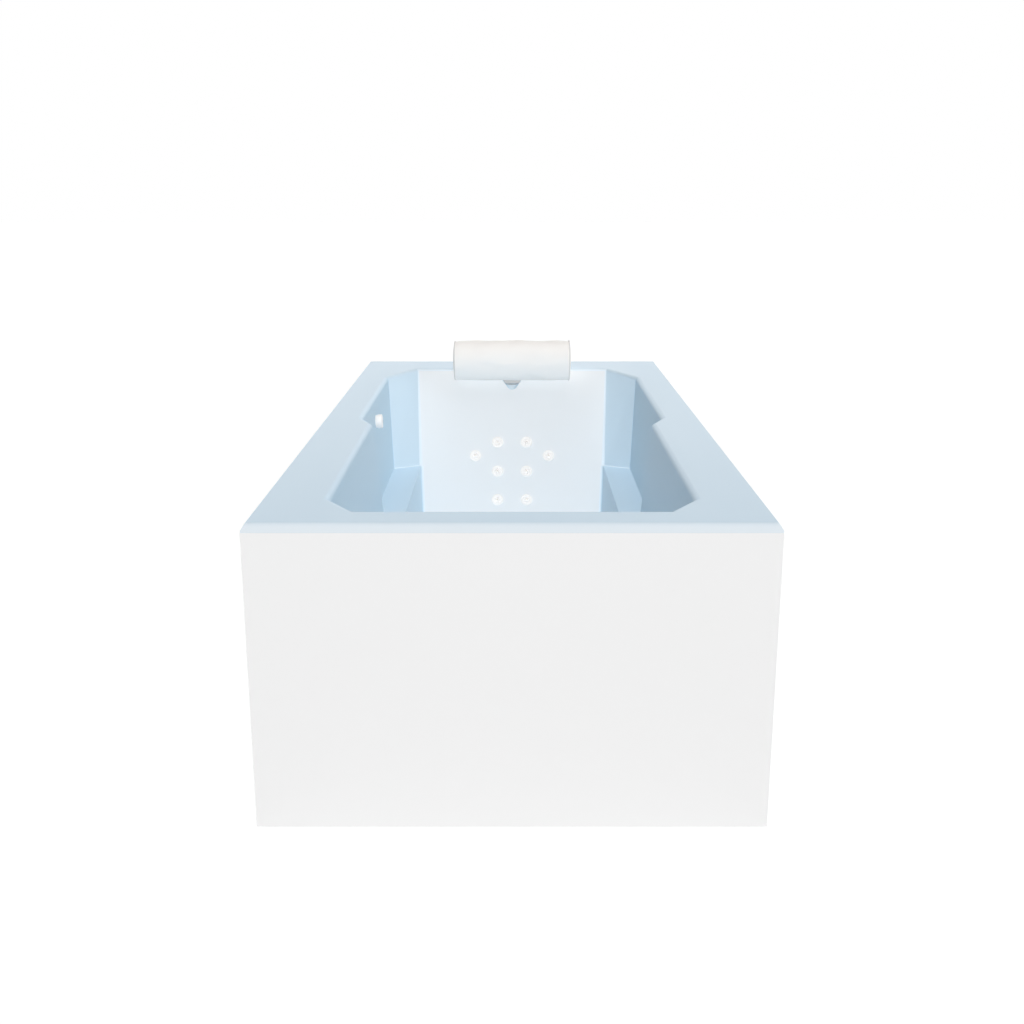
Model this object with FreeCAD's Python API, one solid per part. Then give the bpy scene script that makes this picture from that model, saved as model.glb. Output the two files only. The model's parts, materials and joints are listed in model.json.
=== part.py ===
"""Free-standing jetted bathtub: acrylic shell on a steel frame, skirts, jets, pump, waste and head pillow.

Units are millimetres. The origin is at floor level under the centre of the tub, +X is to the right
as seen from the foot end, +Y runs from the foot end to the head end and +Z is up.
"""

import FreeCAD, Part
import math
import os

Vector = FreeCAD.Vector

# ---------------------------------------------------------------- overall size
tub_length = 1828.8
tub_width = 838.2
deck_height = 508.0

# ---------------------------------------------------------------- clearances
running_gap = 0.05          # radial, between a shaft and its bore
snug_gap = 0.1              # radial, between fixed round pieces
loose_gap = 0.3             # between pieces that move past each other
hole_gap = 0.3              # radial, between a fitting and its hole in the shell
panel_gap = 0.5             # between neighbouring skirts
cut_past = 1.0              # how far a cut runs past the face that it opens

# ---------------------------------------------------------------- shell
shell_wall = 5.0
deck_thickness = 6.0
deck_edge_radius = 2.0
lip_radius = 5.0            # the rounded front edge of the deck at the foot end
rim_radius = 10.0
fillet_radius = 9.0
ledge_height = 254.0
floor_height = 90.0
foot_deck = 110.0           # deck widths round the opening
head_deck = 152.0
arm_deck = 111.0
shoulder_deck = 81.0
recline = 26.3              # backrest, degrees from vertical
foot_lean = 6.0
arm_draft = 1.4
shoulder_draft = 2.35
well_draft = 3.5
armrest_inset = 163.1       # from the tub's side to the armrest's inner edge, at the ledge
foot_cut_top = (54.0, 85.0)         # corner cuts of the opening, across and along
foot_cut_ledge = 60.0
head_cut_top = (71.0, 154.0)
head_cut_ledge = 37.0
step_top = (-57.0, 13.0)    # where the arm zone widens to the shoulder zone, at the deck
step_ledge = (75.0, 248.0)  # and at the ledge
scoop_drop = 48.0           # from the deck to the tip of the notch that takes the pillow's tongue
scoop_tip_radius = 8.0
scoop_top_radius = 38.0
scoop_length = 62.0
hole_depth = 60.0           # of the drills for the fittings

# ---------------------------------------------------------------- base and frame
board_thickness = 18.0
board_side_inset = 21.0     # from the armrest's inner edge
board_foot_inset = 274.4    # from the tub's foot end
board_head_inset = 34.4     # from its head end
rail_size = 30.0
rail_wall = 2.5
rail_inset = 44.1           # from the tub's side to the rail's middle
rail_end_inset = 15.4
cross_bar_count = 6
cross_bar_insets = (30.4, 54.4)     # the first from the foot end, the last from the head end
post_size = 25.0
post_wall = 2.0
post_end_inset = 54.4
middle_post_y = (-280.0, 150.0)
foot_inset = 214.4          # from the tub's ends to the levelling feet
foot_pad_radius = 25.0
foot_pad_height = 8.0
foot_hub_radius = 12.0
foot_hub_height = 16.0
stud_radius = 6.0
stud_top = 58.0
lock_nut_flats = 19.0
lock_nut_height = 10.0

# ---------------------------------------------------------------- skirts
skirt_thickness = 6.0
cable_notch = (24.0, 15.0)
clip_height = 300.0
clip_width = 24.0
clip_leg = 24.0
clip_thickness = 2.0

# ---------------------------------------------------------------- jets and manifolds
jet_places = ((40.6, 314.0), (102.4, 279.0), (40.6, 239.0), (40.6, 166.0))   # x to each side, z
jet_flange_radius = 15.0
jet_flange_thickness = 2.5
jet_barrel_radius = 12.2
jet_bore_radius = 10.55
jet_barrel_depth = 46.0
jet_back_thickness = 3.0
jet_ring_radius = 16.0
jet_ring_height = 6.0
jet_ring_depth = 6.0
jet_ring_edge = 2.0
jet_mouth_radius = 6.5
ball_radius = 8.0
ball_centre = -1.0
ball_front = -6.5
ball_back = 5.0
nozzle_tip = -8.0
nozzle_radius = 4.5
nozzle_bore = 2.5
nozzle_flare = 1.0
nozzle_root = 0.5           # how far the tip reaches into the ball
nozzle_pin_radius = 1.5     # the trunnions that the ball tilts on
nozzle_pin_reach = 9.2
gasket_thickness = 1.5
nut_height = 8.0
jet_nut_flats = 33.0
water_depth = 32.0          # behind the backrest's inner face
water_branch_radius = 8.0
water_branch_bore = 6.0
water_socket_radius = 10.5
water_socket_reach = 20.0
water_insert = 7.0
riser_radius = 17.0
riser_bore = 14.0
riser_end = 3.0
riser_overrun = 24.0
feed_radius = 20.0
feed_bore = 17.0
air_depth = 66.0
air_radius = 6.0
air_bore = 4.0
air_column_radius = 7.0
air_column_bore = 5.0
air_elbow_radius = 9.0
air_barb_length = 9.0
air_rise = 30.0
air_intake_height = 425.0
air_intake_radius = 14.0
air_intake_length = 34.0
air_intake_wall = 2.0
air_intake_floor = 4.0

# ---------------------------------------------------------------- pump
pump_inset = 124.4          # from the tub's head end to the pump's axis
pump_axis_over_board = 78.0
volute_radius = 72.0
volute_wall = 8.0
volute_half_width = 26.0
volute_seal_bore = 10.0
port_radius = 24.0
port_bore = 18.0
port_offset = 44.0
outlet_reach = 95.0
cover_thickness = 8.0
inlet_length = 30.0
shaft_radius = 8.0
shaft_front = 12.0
shaft_back = -226.0
impeller_radius = 52.0
impeller_hub_radius = 14.0
impeller_disc = 4.0
impeller_back = -14.0
impeller_front = 10.0
impeller_vanes = 6
vane_thickness = 3.0
blade_root = 2.0            # how far vanes and blades reach into their hub
motor_radius = 58.0
motor_bore = 50.0
motor_front = -30.0
motor_back = -196.0
motor_plate = 8.0
core_radius = 46.0
core_ends = (-172.0, -60.0)
rib_height = 4.0
rib_width = 3.0
rib_count = 32
rib_free_angle = 48.0       # no ribs this close to straight up or down
rib_root = 1.0
rib_insets = (20.0, 12.0)   # from the motor's back and front
fan_radius = 48.0
fan_hub_radius = 14.0
fan_blades = 7
fan_ends = (-218.0, -204.0)
fan_blade_thickness = 2.5
fan_cover_wall = 2.0
fan_cover_back = -236.0
fan_slots = 12
fan_slot_width = 4.0
foot_plate = 5.0
foot_half_width = 58.0
foot_saddle_share = 0.6     # of the plate's width
foot_saddle_ends = (-165.0, -65.0)
box_half_width = 40.0
box_height = 38.0
box_ends = (-160.0, -80.0)
box_wall = 3.0
gland_radius = 9.0
gland_flats = 22.0
gland_hex = 6.0
gland_bore = 4.5
gland_shank = 8.0
gland_length = 24.0
union_radius = 31.0
union_half_length = 12.0
collar_length = 14.0

# ---------------------------------------------------------------- suction
suction_y = 150.0
suction_flange_radius = 40.0
suction_flange_thickness = 3.0
suction_barrel_radius = 26.0
suction_bore = 22.0
suction_barrel_depth = 36.0
chamber_radius = 30.0
chamber_depth = 80.0
chamber_wall = 4.0
pipe_radius = 20.0
pipe_bore = 17.0
socket_radius = 24.0
socket_reach = 50.0
socket_insert = 18.0
suction_nut_flats = 66.0
suction_cover_height = 12.0
suction_cover_radius = 42.0
suction_cover_wall = 3.0
suction_hole_radius = 2.6
suction_hole_rings = (10.0, 19.0, 29.0)
suction_hole_pitch = 10.3

# ---------------------------------------------------------------- waste and overflow
drain_inset = 224.4         # from the tub's foot end
drain_flange_radius = 36.0
drain_flange_thickness = 3.0
drain_throat_radius = 23.5
drain_throat_bore = 20.0
drain_throat_length = 28.0
spider_hub_radius = 8.0
spider_hub_height = 12.0
spider_arm = 4.0
spider_root = 1.0
stopper_radius = 26.0
stopper_thickness = 6.0
stopper_stem_radius = 5.0
stopper_stem_length = 28.0
shoe_radius = 32.0
shoe_floor = 28.0
shoe_wall = 4.0
waste_height = 50.0         # centre of the horizontal waste pipe
tee_radius = 24.0
waste_outlet_bottom = 6.0
outlet_radius = 21.5
outlet_shoulder = 25.0        # underside of the tee, where the trap's socket stops
overflow_drop = 108.0       # below the deck
overflow_depth = 30.0
overflow_barrel_radius = 22.0
overflow_bore = 18.0
overflow_flange_radius = 30.0
overflow_flange_thickness = 4.0
plate_radius = 38.0
plate_thickness = 5.0
plate_hub_radius = 9.0
plate_hub_depth = 16.0
plate_hole_radius = 4.0
plate_hole_circle = 14.5
knob_radius = 24.0
knob_height = 16.0
knob_gap = 1.0
knob_shaft_radius = 6.0
knob_shaft_overrun = 2.0    # past the plate's hub
knob_grips = 8
knob_grip_radius = 4.0

# ---------------------------------------------------------------- air push button
button_y = 265.0
button_drop = 57.0          # below the deck
bezel_radius = 15.5
bezel_height = 9.0
bezel_barrel_radius = 11.0
bezel_barrel_depth = 20.0
bezel_chamber_radius = 10.0
bezel_chamber_depth = 30.0
bezel_chamber_wall = 4.0
cap_radius = 17.0
cap_height = 16.0
cap_rim = 5.0
cap_top = 2.0
cap_edge = 1.5
cap_stem_radius = 6.0
cap_stem_root = 0.5
cap_stem_depth = 14.0
button_nut_flats = 30.0
barb_radius = 2.0
barb_bore = 1.0
barb_length = 8.0
barb_setback = 4.0          # behind the start of the bellows chamber
air_tube_radius = 3.0
air_tube_lead = 45.0        # straight run before the switch's barb
air_tube_bend = 0.45        # of the shorter run beside each bend
air_tube_route = (          # from the tub's side, share of the way to the pump, height
    (58.1, 0.002, 372.0), (60.1, 0.019, 304.0), (71.1, 0.076, 244.0), (86.1, 0.210, 214.0),
    (95.1, 0.362, 205.0), (101.1, 0.524, 208.0), (111.1, 0.676, 218.0), (129.1, 0.829, 230.0),
    (164.1, 0.971, 239.0),
)

# ---------------------------------------------------------------- pillow
pillow_overhang = 19.4      # its axis stands this far inside the rim
pillow_rise = 27.0          # and this far above the deck
pillow_half_length = 167.5
pillow_crown_radius = 57.5
pillow_seam_radius = 53.5
pillow_piping_radius = 55.5
pillow_seam_inset = 10.0
pillow_piping = 6.0
pillow_end_radius = 42.0     # the flat middle of each end
pillow_end_bulge = 1.2
tongue_gap = 1.5
tongue_start = 16.0         # above the notch's tip
tongue_length = 26.0
tongue_edge = 4.0
tongue_proud = 2.5


# ---------------------------------------------------------------- small shape helpers
def tan(degrees):
    return math.tan(math.radians(degrees))


def sin(degrees):
    return math.sin(math.radians(degrees))


def cos(degrees):
    return math.cos(math.radians(degrees))


def save(node, *solids):
    shape = solids[0] if len(solids) == 1 else Part.makeCompound(list(solids))
    shape.exportStep("parts/" + node + ".step")


def box(x0, x1, y0, y1, z0, z1):
    return Part.makeBox(x1 - x0, y1 - y0, z1 - z0, Vector(x0, y0, z0))


def cylinder(radius, z0, z1, x=0.0, y=0.0):
    return Part.makeCylinder(radius, z1 - z0, Vector(x, y, z0))


def ring(outer, inner, z0, z1, x=0.0, y=0.0):
    return cylinder(outer, z0, z1, x, y).cut(cylinder(inner, z0, z1, x, y))


def rod(start, end, radius):
    return Part.makeCylinder(radius, (end - start).Length, start, end - start)


def ball(centre, radius):
    return Part.makeSphere(radius, centre)


def fuse(first, *others):
    return first.fuse(list(others)).removeSplitter()


def hexagon(flats, z0, z1, x=0.0, y=0.0):
    corners = [Vector(x + flats / math.sqrt(3) * cos(60 * k), y + flats / math.sqrt(3) * sin(60 * k), z0)
               for k in range(7)]
    return Part.Face(Part.makePolygon(corners)).extrude(Vector(0, 0, z1 - z0))


def prism(points, direction):
    return Part.Face(Part.makePolygon(points + points[:1])).extrude(direction)


def turned(shape, degrees):
    copy = shape.copy()
    copy.rotate(Vector(0, 0, 0), Vector(0, 0, 1), degrees)
    return copy


def frame(point, up, outward):
    """Placement with local Z pointing outward and local Y pointing up."""
    rotation = FreeCAD.Rotation(up.cross(outward), up, outward, "ZYX")
    return FreeCAD.Placement(point, rotation)


def placed(shape, placement):
    return shape.transformed(placement.toMatrix())


def square_tube(x0, x1, y0, y1, z0, z1, wall, along):
    """Rectangular tube, open at both ends along one axis (0, 1 or 2)."""
    inset = [wall, wall, wall]
    inset[along] = 0.0
    hollow = box(x0 + inset[0], x1 - inset[0], y0 + inset[1], y1 - inset[1], z0 + inset[2], z1 - inset[2])
    return box(x0, x1, y0, y1, z0, z1).cut(hollow)


# ---------------------------------------------------------------- outlines of the basin
foot_wall_y = -(tub_length / 2 - foot_deck)
head_wall_y = tub_length / 2 - head_deck
arm_x = tub_width / 2 - arm_deck
shoulder_x = tub_width / 2 - shoulder_deck
well_half_width = tub_width / 2 - armrest_inset


def foot_y_at(z):
    return foot_wall_y + (deck_height - z) * tan(foot_lean)


def backrest_y_at(z):
    return head_wall_y - (deck_height - z) * tan(recline)


def arm_x_at(z):
    return arm_x - (deck_height - z) * tan(arm_draft)


def shoulder_x_at(z):
    return shoulder_x - (deck_height - z) * tan(shoulder_draft)


def well_x_at(z):
    return well_half_width - (ledge_height - z) * tan(well_draft)


def upper_outline(z):
    """Right half of the basin's outline between the ledge and the deck, from foot to head."""
    share = (deck_height - z) / (deck_height - ledge_height)

    def mix(at_deck, at_ledge):
        return at_deck + (at_ledge - at_deck) * share

    arm, shoulder, foot, head = arm_x_at(z), shoulder_x_at(z), foot_y_at(z), backrest_y_at(z)
    return [
        (mix(arm_x - foot_cut_top[0], well_half_width), foot),
        (arm, foot + mix(foot_cut_top[1], foot_cut_ledge)),
        (arm, mix(step_top[0], step_ledge[0])),
        (shoulder, mix(step_top[1], step_ledge[1])),
        (shoulder, head - mix(head_cut_top[1], head_cut_ledge)),
        (mix(shoulder_x - head_cut_top[0], well_half_width), head),
    ]


def well_outline(z):
    return [(well_x_at(z), foot_y_at(z)), (well_x_at(z), backrest_y_at(z))]


def mirrored(half):
    return half + [(-x, y) for x, y in reversed(half)]


def grown(points, distance):
    """Closed outline moved outward by one distance on every side."""
    moved = []
    for i, (x, y) in enumerate(points):
        x0, y0 = points[i - 1]
        x2, y2 = points[(i + 1) % len(points)]
        before = math.hypot(x - x0, y - y0)
        after = math.hypot(x2 - x, y2 - y)
        n0 = ((y - y0) / before, (x0 - x) / before)
        n1 = ((y2 - y) / after, (x - x2) / after)
        scale = distance / (1 + n0[0] * n1[0] + n0[1] * n1[1])
        moved.append((x + scale * (n0[0] + n1[0]), y + scale * (n0[1] + n1[1])))
    return moved


def side_face(a, b, c, d):
    """Face through four corners: a plane where they lie in one, else a ruled surface."""
    out_of_plane = abs((b - a).cross(d - a).dot(c - a))
    if out_of_plane < 0.001 * (b - a).Length * (d - a).Length:
        return Part.Face(Part.makePolygon([a, b, c, d, a]))
    return Part.makeRuledSurface(Part.makeLine(a, b), Part.makeLine(d, c))


def tapered_solid(outline, z0, z1, growth):
    rings = []
    for z in (z0, z1):
        points = grown(mirrored(outline(z)), growth)
        rings.append([Vector(x, y, z) for x, y in points])
    low, high = rings
    faces = [Part.Face(Part.makePolygon(corners + corners[:1])) for corners in rings]
    for i in range(len(low)):
        j = (i + 1) % len(low)
        faces.append(side_face(low[i], low[j], high[j], high[i]))
    shell = Part.makeShell(faces)
    shell.sewShape()
    solid = Part.Solid(shell)
    if solid.Volume < 0:
        solid.reverse()
    return solid


def edges_near(shape, middles):
    """Edges whose ends' middle point is at one of the places, on either side of the tub."""
    found = []
    for edge in shape.Edges:
        middle = (edge.Vertexes[0].Point + edge.Vertexes[-1].Point) * 0.5
        middle.x = abs(middle.x)
        if any((middle - place).Length < 1.0 for place in middles):
            found.append(edge)
    return found


def basin_fillet_places():
    """Middle points of the basin's edges that get the moulding's fillets."""
    deck, ledge = upper_outline(deck_height), upper_outline(ledge_height)
    floor, well_top = well_outline(floor_height), well_outline(ledge_height)
    uprights = [(Vector(*low, ledge_height) + Vector(*high, deck_height)) * 0.5
                for low, high in list(zip(ledge, deck))[:-1]]
    ledge_lines = [(Vector(*ledge[i], ledge_height) + Vector(*ledge[i + 1], ledge_height)) * 0.5
                   for i in range(4)]
    well_corner = (Vector(*floor[1], floor_height) + Vector(*well_top[1], ledge_height)) * 0.5
    floor_side = (Vector(*floor[0], floor_height) + Vector(*floor[1], floor_height)) * 0.5
    floor_ends = [Vector(0, y, floor_height) for _, y in floor]
    return uprights + ledge_lines + [well_corner, floor_side] + floor_ends


# ---------------------------------------------------------------- frames of the fittings
def backrest_frame(x, z):
    up = Vector(0, sin(recline), cos(recline))
    outward = Vector(0, cos(recline), -sin(recline))
    return frame(Vector(x, backrest_y_at(z), z), up, outward)


def on_slope(z):
    """Distance up the backrest from the manifolds' reference height."""
    return (z - manifold_reference) / cos(recline)


manifold_reference = jet_places[2][1]
backrest_wall = shell_wall * cos(recline)
well_wall = shell_wall * cos(well_draft)
foot_wall = shell_wall * cos(foot_lean)
shoulder_wall = shell_wall * cos(shoulder_draft)

board_top = floor_height - shell_wall
board_bottom = board_top - board_thickness
rail_bottom = board_bottom - rail_size
deck_bottom = deck_height - deck_thickness
pump_y = tub_length / 2 - pump_inset
pump_z = board_top + pump_axis_over_board

rail_x = tub_width / 2 - rail_inset
rail_half_length = tub_length / 2 - rail_end_inset
first_bar_y = cross_bar_insets[0] - tub_length / 2
last_bar_y = tub_length / 2 - cross_bar_insets[1]
cross_bar_y = [first_bar_y + (last_bar_y - first_bar_y) * k / (cross_bar_count - 1)
               for k in range(cross_bar_count)]
post_end_y = tub_length / 2 - post_end_inset
post_y = [-post_end_y, *middle_post_y, post_end_y]
foot_y = (foot_inset - tub_length / 2, tub_length / 2 - foot_inset)
drain_y = drain_inset - tub_length / 2
overflow_height = deck_height - overflow_drop
button_height = deck_height - button_drop
scoop_tip_height = deck_height - scoop_drop
pillow_y = head_wall_y - pillow_overhang
pillow_height = deck_height + pillow_rise

jets = [(side * x, z) for x, z in jet_places for side in (-1, 1)]
chamber_centre = (suction_barrel_depth + chamber_depth) / 2
suction_z = pump_z + chamber_centre * sin(well_draft)
suction_frame = frame(Vector(well_x_at(suction_z), suction_y, suction_z),
                      Vector(sin(well_draft), 0, cos(well_draft)),
                      Vector(cos(well_draft), 0, -sin(well_draft)))
overflow_frame = frame(Vector(0, foot_y_at(overflow_height), overflow_height),
                       Vector(0, -sin(foot_lean), cos(foot_lean)),
                       Vector(0, -cos(foot_lean), -sin(foot_lean)))
button_frame = frame(Vector(-shoulder_x_at(button_height), button_y, button_height),
                     Vector(-sin(shoulder_draft), 0, cos(shoulder_draft)),
                     Vector(-cos(shoulder_draft), 0, -sin(shoulder_draft)))
pump_frame = frame(Vector(0, pump_y, pump_z), Vector(0, 0, 1), Vector(1, 0, 0))
scoop_frame = backrest_frame(0, scoop_tip_height)


# ---------------------------------------------------------------- tub shell
def scoop_solid(growth):
    """Notch for the pillow's tongue: a cone that widens up the backrest from a round tip."""
    start, up = Vector(0, 0, 0), Vector(0, 1, 0)
    cone = Part.makeCone(scoop_tip_radius + growth, scoop_top_radius + growth, scoop_length, start, up)
    return placed(fuse(cone, ball(start, scoop_tip_radius + growth)), scoop_frame)


def fitting_holes():
    def drill(radius):
        return cylinder(radius + hole_gap, -hole_depth / 2, hole_depth / 2)

    holes = [placed(drill(jet_barrel_radius), backrest_frame(x, z)) for x, z in jets]
    holes.append(placed(drill(suction_barrel_radius), suction_frame))
    holes.append(placed(drill(overflow_bore), overflow_frame))
    holes.append(placed(drill(bezel_barrel_radius), button_frame))
    drain = drill(drain_throat_radius)
    drain.translate(Vector(0, drain_y, floor_height))
    return holes + [drain]


def make_tub_shell():
    cavity = fuse(tapered_solid(upper_outline, ledge_height, deck_height, 0.0),
                  tapered_solid(well_outline, floor_height, ledge_height, 0.0))
    cavity = cavity.makeFillet(fillet_radius, edges_near(cavity, basin_fillet_places()))
    deck = box(-tub_width / 2, tub_width / 2, -tub_length / 2, tub_length / 2, deck_bottom, deck_height)
    top_edges = [edge for edge in deck.Edges if edge.BoundBox.ZMin > deck_height - 1]
    others = [edge for edge in top_edges if edge.BoundBox.YMax > 0]
    deck = deck.makeFillet(deck_edge_radius, others)
    front = [edge for edge in deck.Edges
             if edge.BoundBox.ZMin > deck_height - 1 and edge.BoundBox.YMax < 1 - tub_length / 2]
    deck = deck.makeFillet(lip_radius, front)
    outside = fuse(deck,
                   tapered_solid(upper_outline, ledge_height - shell_wall, deck_height, shell_wall),
                   tapered_solid(well_outline, floor_height - shell_wall, ledge_height, shell_wall))
    shell = outside.cut(cavity)
    rim = [edge for edge in shell.Edges
           if edge.BoundBox.ZMin > deck_height - 0.01 and abs(edge.CenterOfMass.x) < shoulder_x + 1
           and foot_wall_y - 1 < edge.CenterOfMass.y < head_wall_y + 1]
    shell = shell.makeFillet(rim_radius, rim)
    below_deck = box(-tub_width / 2, tub_width / 2, -tub_length / 2, tub_length / 2, 0, deck_bottom)
    backing = scoop_solid(shell_wall).common(below_deck)
    basin_side = tapered_solid(upper_outline, ledge_height, deck_height, shell_wall / 2)
    shell = shell.fuse(backing.cut(basin_side)).cut([scoop_solid(0.0)] + fitting_holes())
    return shell.removeSplitter()


# ---------------------------------------------------------------- base, frame, feet and skirts
def make_base():
    half_width = well_half_width - board_side_inset
    save("base_board", box(-half_width, half_width, board_foot_inset - tub_length / 2,
                           tub_length / 2 - board_head_inset, board_bottom, board_top))


def make_frame():
    half = rail_size / 2
    rails, nuts, feet = [], [], {}
    for side, hand in ((-1, "left"), (1, "right")):
        x = side * rail_x
        rail = square_tube(x - half, x + half, -rail_half_length, rail_half_length,
                           rail_bottom, board_bottom, rail_wall, 1)
        for y, end in zip(foot_y, ("foot", "head")):
            rail = rail.cut(cylinder(stud_radius + running_gap, rail_bottom - cut_past,
                                     rail_bottom + rail_wall + cut_past, x, y))
            nut = hexagon(lock_nut_flats, rail_bottom - lock_nut_height, rail_bottom, x, y)
            nuts.append(nut.cut(cylinder(stud_radius + running_gap, 0, rail_bottom + cut_past, x, y)))
            stud = cylinder(stud_radius, foot_pad_height, stud_top, x, y)
            pad = fuse(cylinder(foot_pad_radius, 0, foot_pad_height, x, y),
                       cylinder(foot_hub_radius, foot_pad_height, foot_hub_height, x, y)).cut(stud)
            feet["foot_" + end + "_" + hand] = (pad, stud)
        rails.append(rail)
    save("frame_rails", *rails)
    save("foot_lock_nuts", *nuts)
    for node, solids in feet.items():
        save(node, *solids)
    save("frame_cross_bars", *[
        square_tube(half - rail_x, rail_x - half, y - half, y + half, rail_bottom, board_bottom,
                    rail_wall, 0) for y in cross_bar_y])
    reach = post_size / 2
    save("frame_posts", *[
        square_tube(side * rail_x - reach, side * rail_x + reach, y - reach, y + reach,
                    board_bottom, deck_bottom, post_wall, 2) for side in (-1, 1) for y in post_y])


def clip(depth):
    """Bent strip with one leg on the post and one on the skirt; depth is the space between them."""
    z0, z1 = clip_height - clip_width / 2, clip_height + clip_width / 2
    back = box(-clip_leg / 2, clip_leg / 2, 0, clip_thickness, z0, z1)
    web = box(-clip_leg / 2, clip_thickness - clip_leg / 2, 0, depth, z0, z1)
    face = box(-clip_leg / 2, clip_leg / 2, depth - clip_thickness, depth, z0, z1)
    return fuse(back, web, face)


def make_skirts():
    half_x, half_y = tub_width / 2, tub_length / 2
    inner_x, inner_y = half_x - skirt_thickness, half_y - skirt_thickness
    side_y = inner_y - panel_gap
    save("skirt_foot_end", box(-half_x, half_x, -half_y, -inner_y, 0, deck_bottom))
    notch = box(-cable_notch[0] / 2, cable_notch[0] / 2, inner_y - cut_past, half_y + cut_past,
                0, cable_notch[1])
    save("skirt_head_end", box(-half_x, half_x, inner_y, half_y, 0, deck_bottom).cut(notch))
    save("skirt_left", box(-half_x, -inner_x, -side_y, side_y, 0, deck_bottom))
    save("skirt_right", box(inner_x, half_x, -side_y, side_y, 0, deck_bottom - loose_gap))
    post_face = rail_x + post_size / 2
    clips = []
    for y in post_y:
        left = clip(inner_x - post_face)
        left.rotate(Vector(0, 0, 0), Vector(0, 0, 1), 90)
        left.translate(Vector(-post_face, y, 0))
        right = clip(inner_x - post_face - loose_gap)
        right.rotate(Vector(0, 0, 0), Vector(0, 0, 1), -90)
        right.translate(Vector(post_face, y, 0))
        clips += [left, right]
    for end in (-1, 1):
        face = max(abs(y) for y in post_y) + post_size / 2
        for side in (-1, 1):
            end_clip = clip(inner_y - face)
            if end < 0:
                end_clip.rotate(Vector(0, 0, 0), Vector(0, 0, 1), 180)
            end_clip.translate(Vector(side * rail_x, end * face, 0))
            clips.append(end_clip)
    save("skirt_clips", *clips)


# ---------------------------------------------------------------- jets
def jet_body(side):
    """Flange, barrel, closed back, air barb, and a water socket that faces the riser."""
    back = jet_barrel_depth + jet_back_thickness
    outer = fuse(cylinder(jet_flange_radius, -jet_flange_thickness, 0),
                 cylinder(jet_barrel_radius, 0, back),
                 cylinder(air_bore - snug_gap, back, back + air_barb_length),
                 rod(Vector(0, 0, water_depth), Vector(side * water_socket_reach, 0, water_depth),
                     water_socket_radius))
    bore = fuse(cylinder(jet_bore_radius, -jet_flange_thickness, jet_barrel_depth),
                cylinder(air_bore / 2, jet_barrel_depth, back + air_barb_length),
                rod(Vector(0, 0, water_depth), Vector(side * water_socket_reach, 0, water_depth),
                    water_branch_radius + running_gap))
    return outer.cut(bore)


def jet_ring():
    socket_centre = Vector(0, 0, ball_centre)
    face = cylinder(jet_ring_radius, -jet_ring_height, -jet_flange_thickness - loose_gap)
    rim = [edge for edge in face.Edges if edge.BoundBox.ZMax < -jet_ring_height + 0.01]
    face = face.makeFillet(jet_ring_edge, rim)
    sleeve = cylinder(jet_bore_radius - running_gap, -jet_flange_thickness - loose_gap, jet_ring_depth)
    through = cylinder(jet_mouth_radius, -jet_ring_height, jet_ring_depth)
    return fuse(face, sleeve).cut([through, ball(socket_centre, ball_radius + running_gap),
                                   nozzle_pin(running_gap)])


def nozzle_pin(gap):
    """Trunnion through the ball's centre, across the jet."""
    reach = Vector(nozzle_pin_reach + gap, 0, 0)
    centre = Vector(0, 0, ball_centre)
    return rod(centre - reach, centre + reach, nozzle_pin_radius + gap)


def jet_nozzle():
    socket_centre = Vector(0, 0, ball_centre)
    keep = cylinder(2 * ball_radius, ball_front, ball_back)
    tip = Part.makeCone(nozzle_radius, nozzle_radius + nozzle_flare, ball_front - nozzle_tip + nozzle_root,
                        Vector(0, 0, nozzle_tip))
    body = fuse(ball(socket_centre, ball_radius).common(keep), tip, nozzle_pin(0.0))
    return body.cut(cylinder(nozzle_bore, nozzle_tip, ball_back))


def make_jets():
    bodies = []
    for number, (x, z) in enumerate(jets, 1):
        place = backrest_frame(x, z)
        bodies.append(placed(jet_body(1 if x > 0 else -1), place))
        save("jet_ring_%d" % number, placed(jet_ring(), place))
        save("jet_nozzle_%d" % number, placed(jet_nozzle(), place))
    save("jet_bodies", *bodies)


def threaded_nut(flats, bolt_radius, start):
    return hexagon(flats, start, start + nut_height).cut(
        cylinder(bolt_radius + snug_gap, start, start + nut_height))


def make_gaskets_and_nuts():
    gaskets, nuts = [], []
    for x, z in jets:
        place = backrest_frame(x, z)
        gaskets.append(placed(ring(jet_flange_radius, jet_barrel_radius + snug_gap, backrest_wall,
                                   backrest_wall + gasket_thickness), place))
        nuts.append(placed(threaded_nut(jet_nut_flats, jet_barrel_radius,
                                        backrest_wall + gasket_thickness), place))
    gaskets.append(placed(ring(suction_nut_flats / 2, suction_barrel_radius + snug_gap, well_wall,
                               well_wall + gasket_thickness), suction_frame))
    nuts.append(placed(threaded_nut(suction_nut_flats, suction_barrel_radius,
                                    well_wall + gasket_thickness), suction_frame))
    nuts.append(placed(threaded_nut(button_nut_flats, bezel_barrel_radius, shoulder_wall), button_frame))
    gaskets.append(placed(ring(overflow_flange_radius, overflow_bore + hole_gap, foot_wall,
                               foot_wall + gasket_thickness), overflow_frame))
    gaskets.append(ring(shoe_radius, drain_throat_radius + snug_gap, board_top - gasket_thickness,
                        board_top, 0.0, drain_y))
    union = hexagon(2 * union_radius * cos(30), -union_half_length, union_half_length).cut(
        cylinder(port_radius + snug_gap, -union_half_length, union_half_length))
    inlet_face = volute_half_width + cover_thickness + inlet_length
    nuts.append(placed(union, frame(Vector(inlet_face, pump_y, pump_z), Vector(0, 0, 1), Vector(1, 0, 0))))
    nuts.append(placed(union, frame(Vector(0, pump_y - outlet_reach, pump_z + port_offset),
                                    Vector(0, 0, 1), Vector(0, -1, 0))))
    save("gaskets", *gaskets)
    save("fitting_nuts", *nuts)


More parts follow.
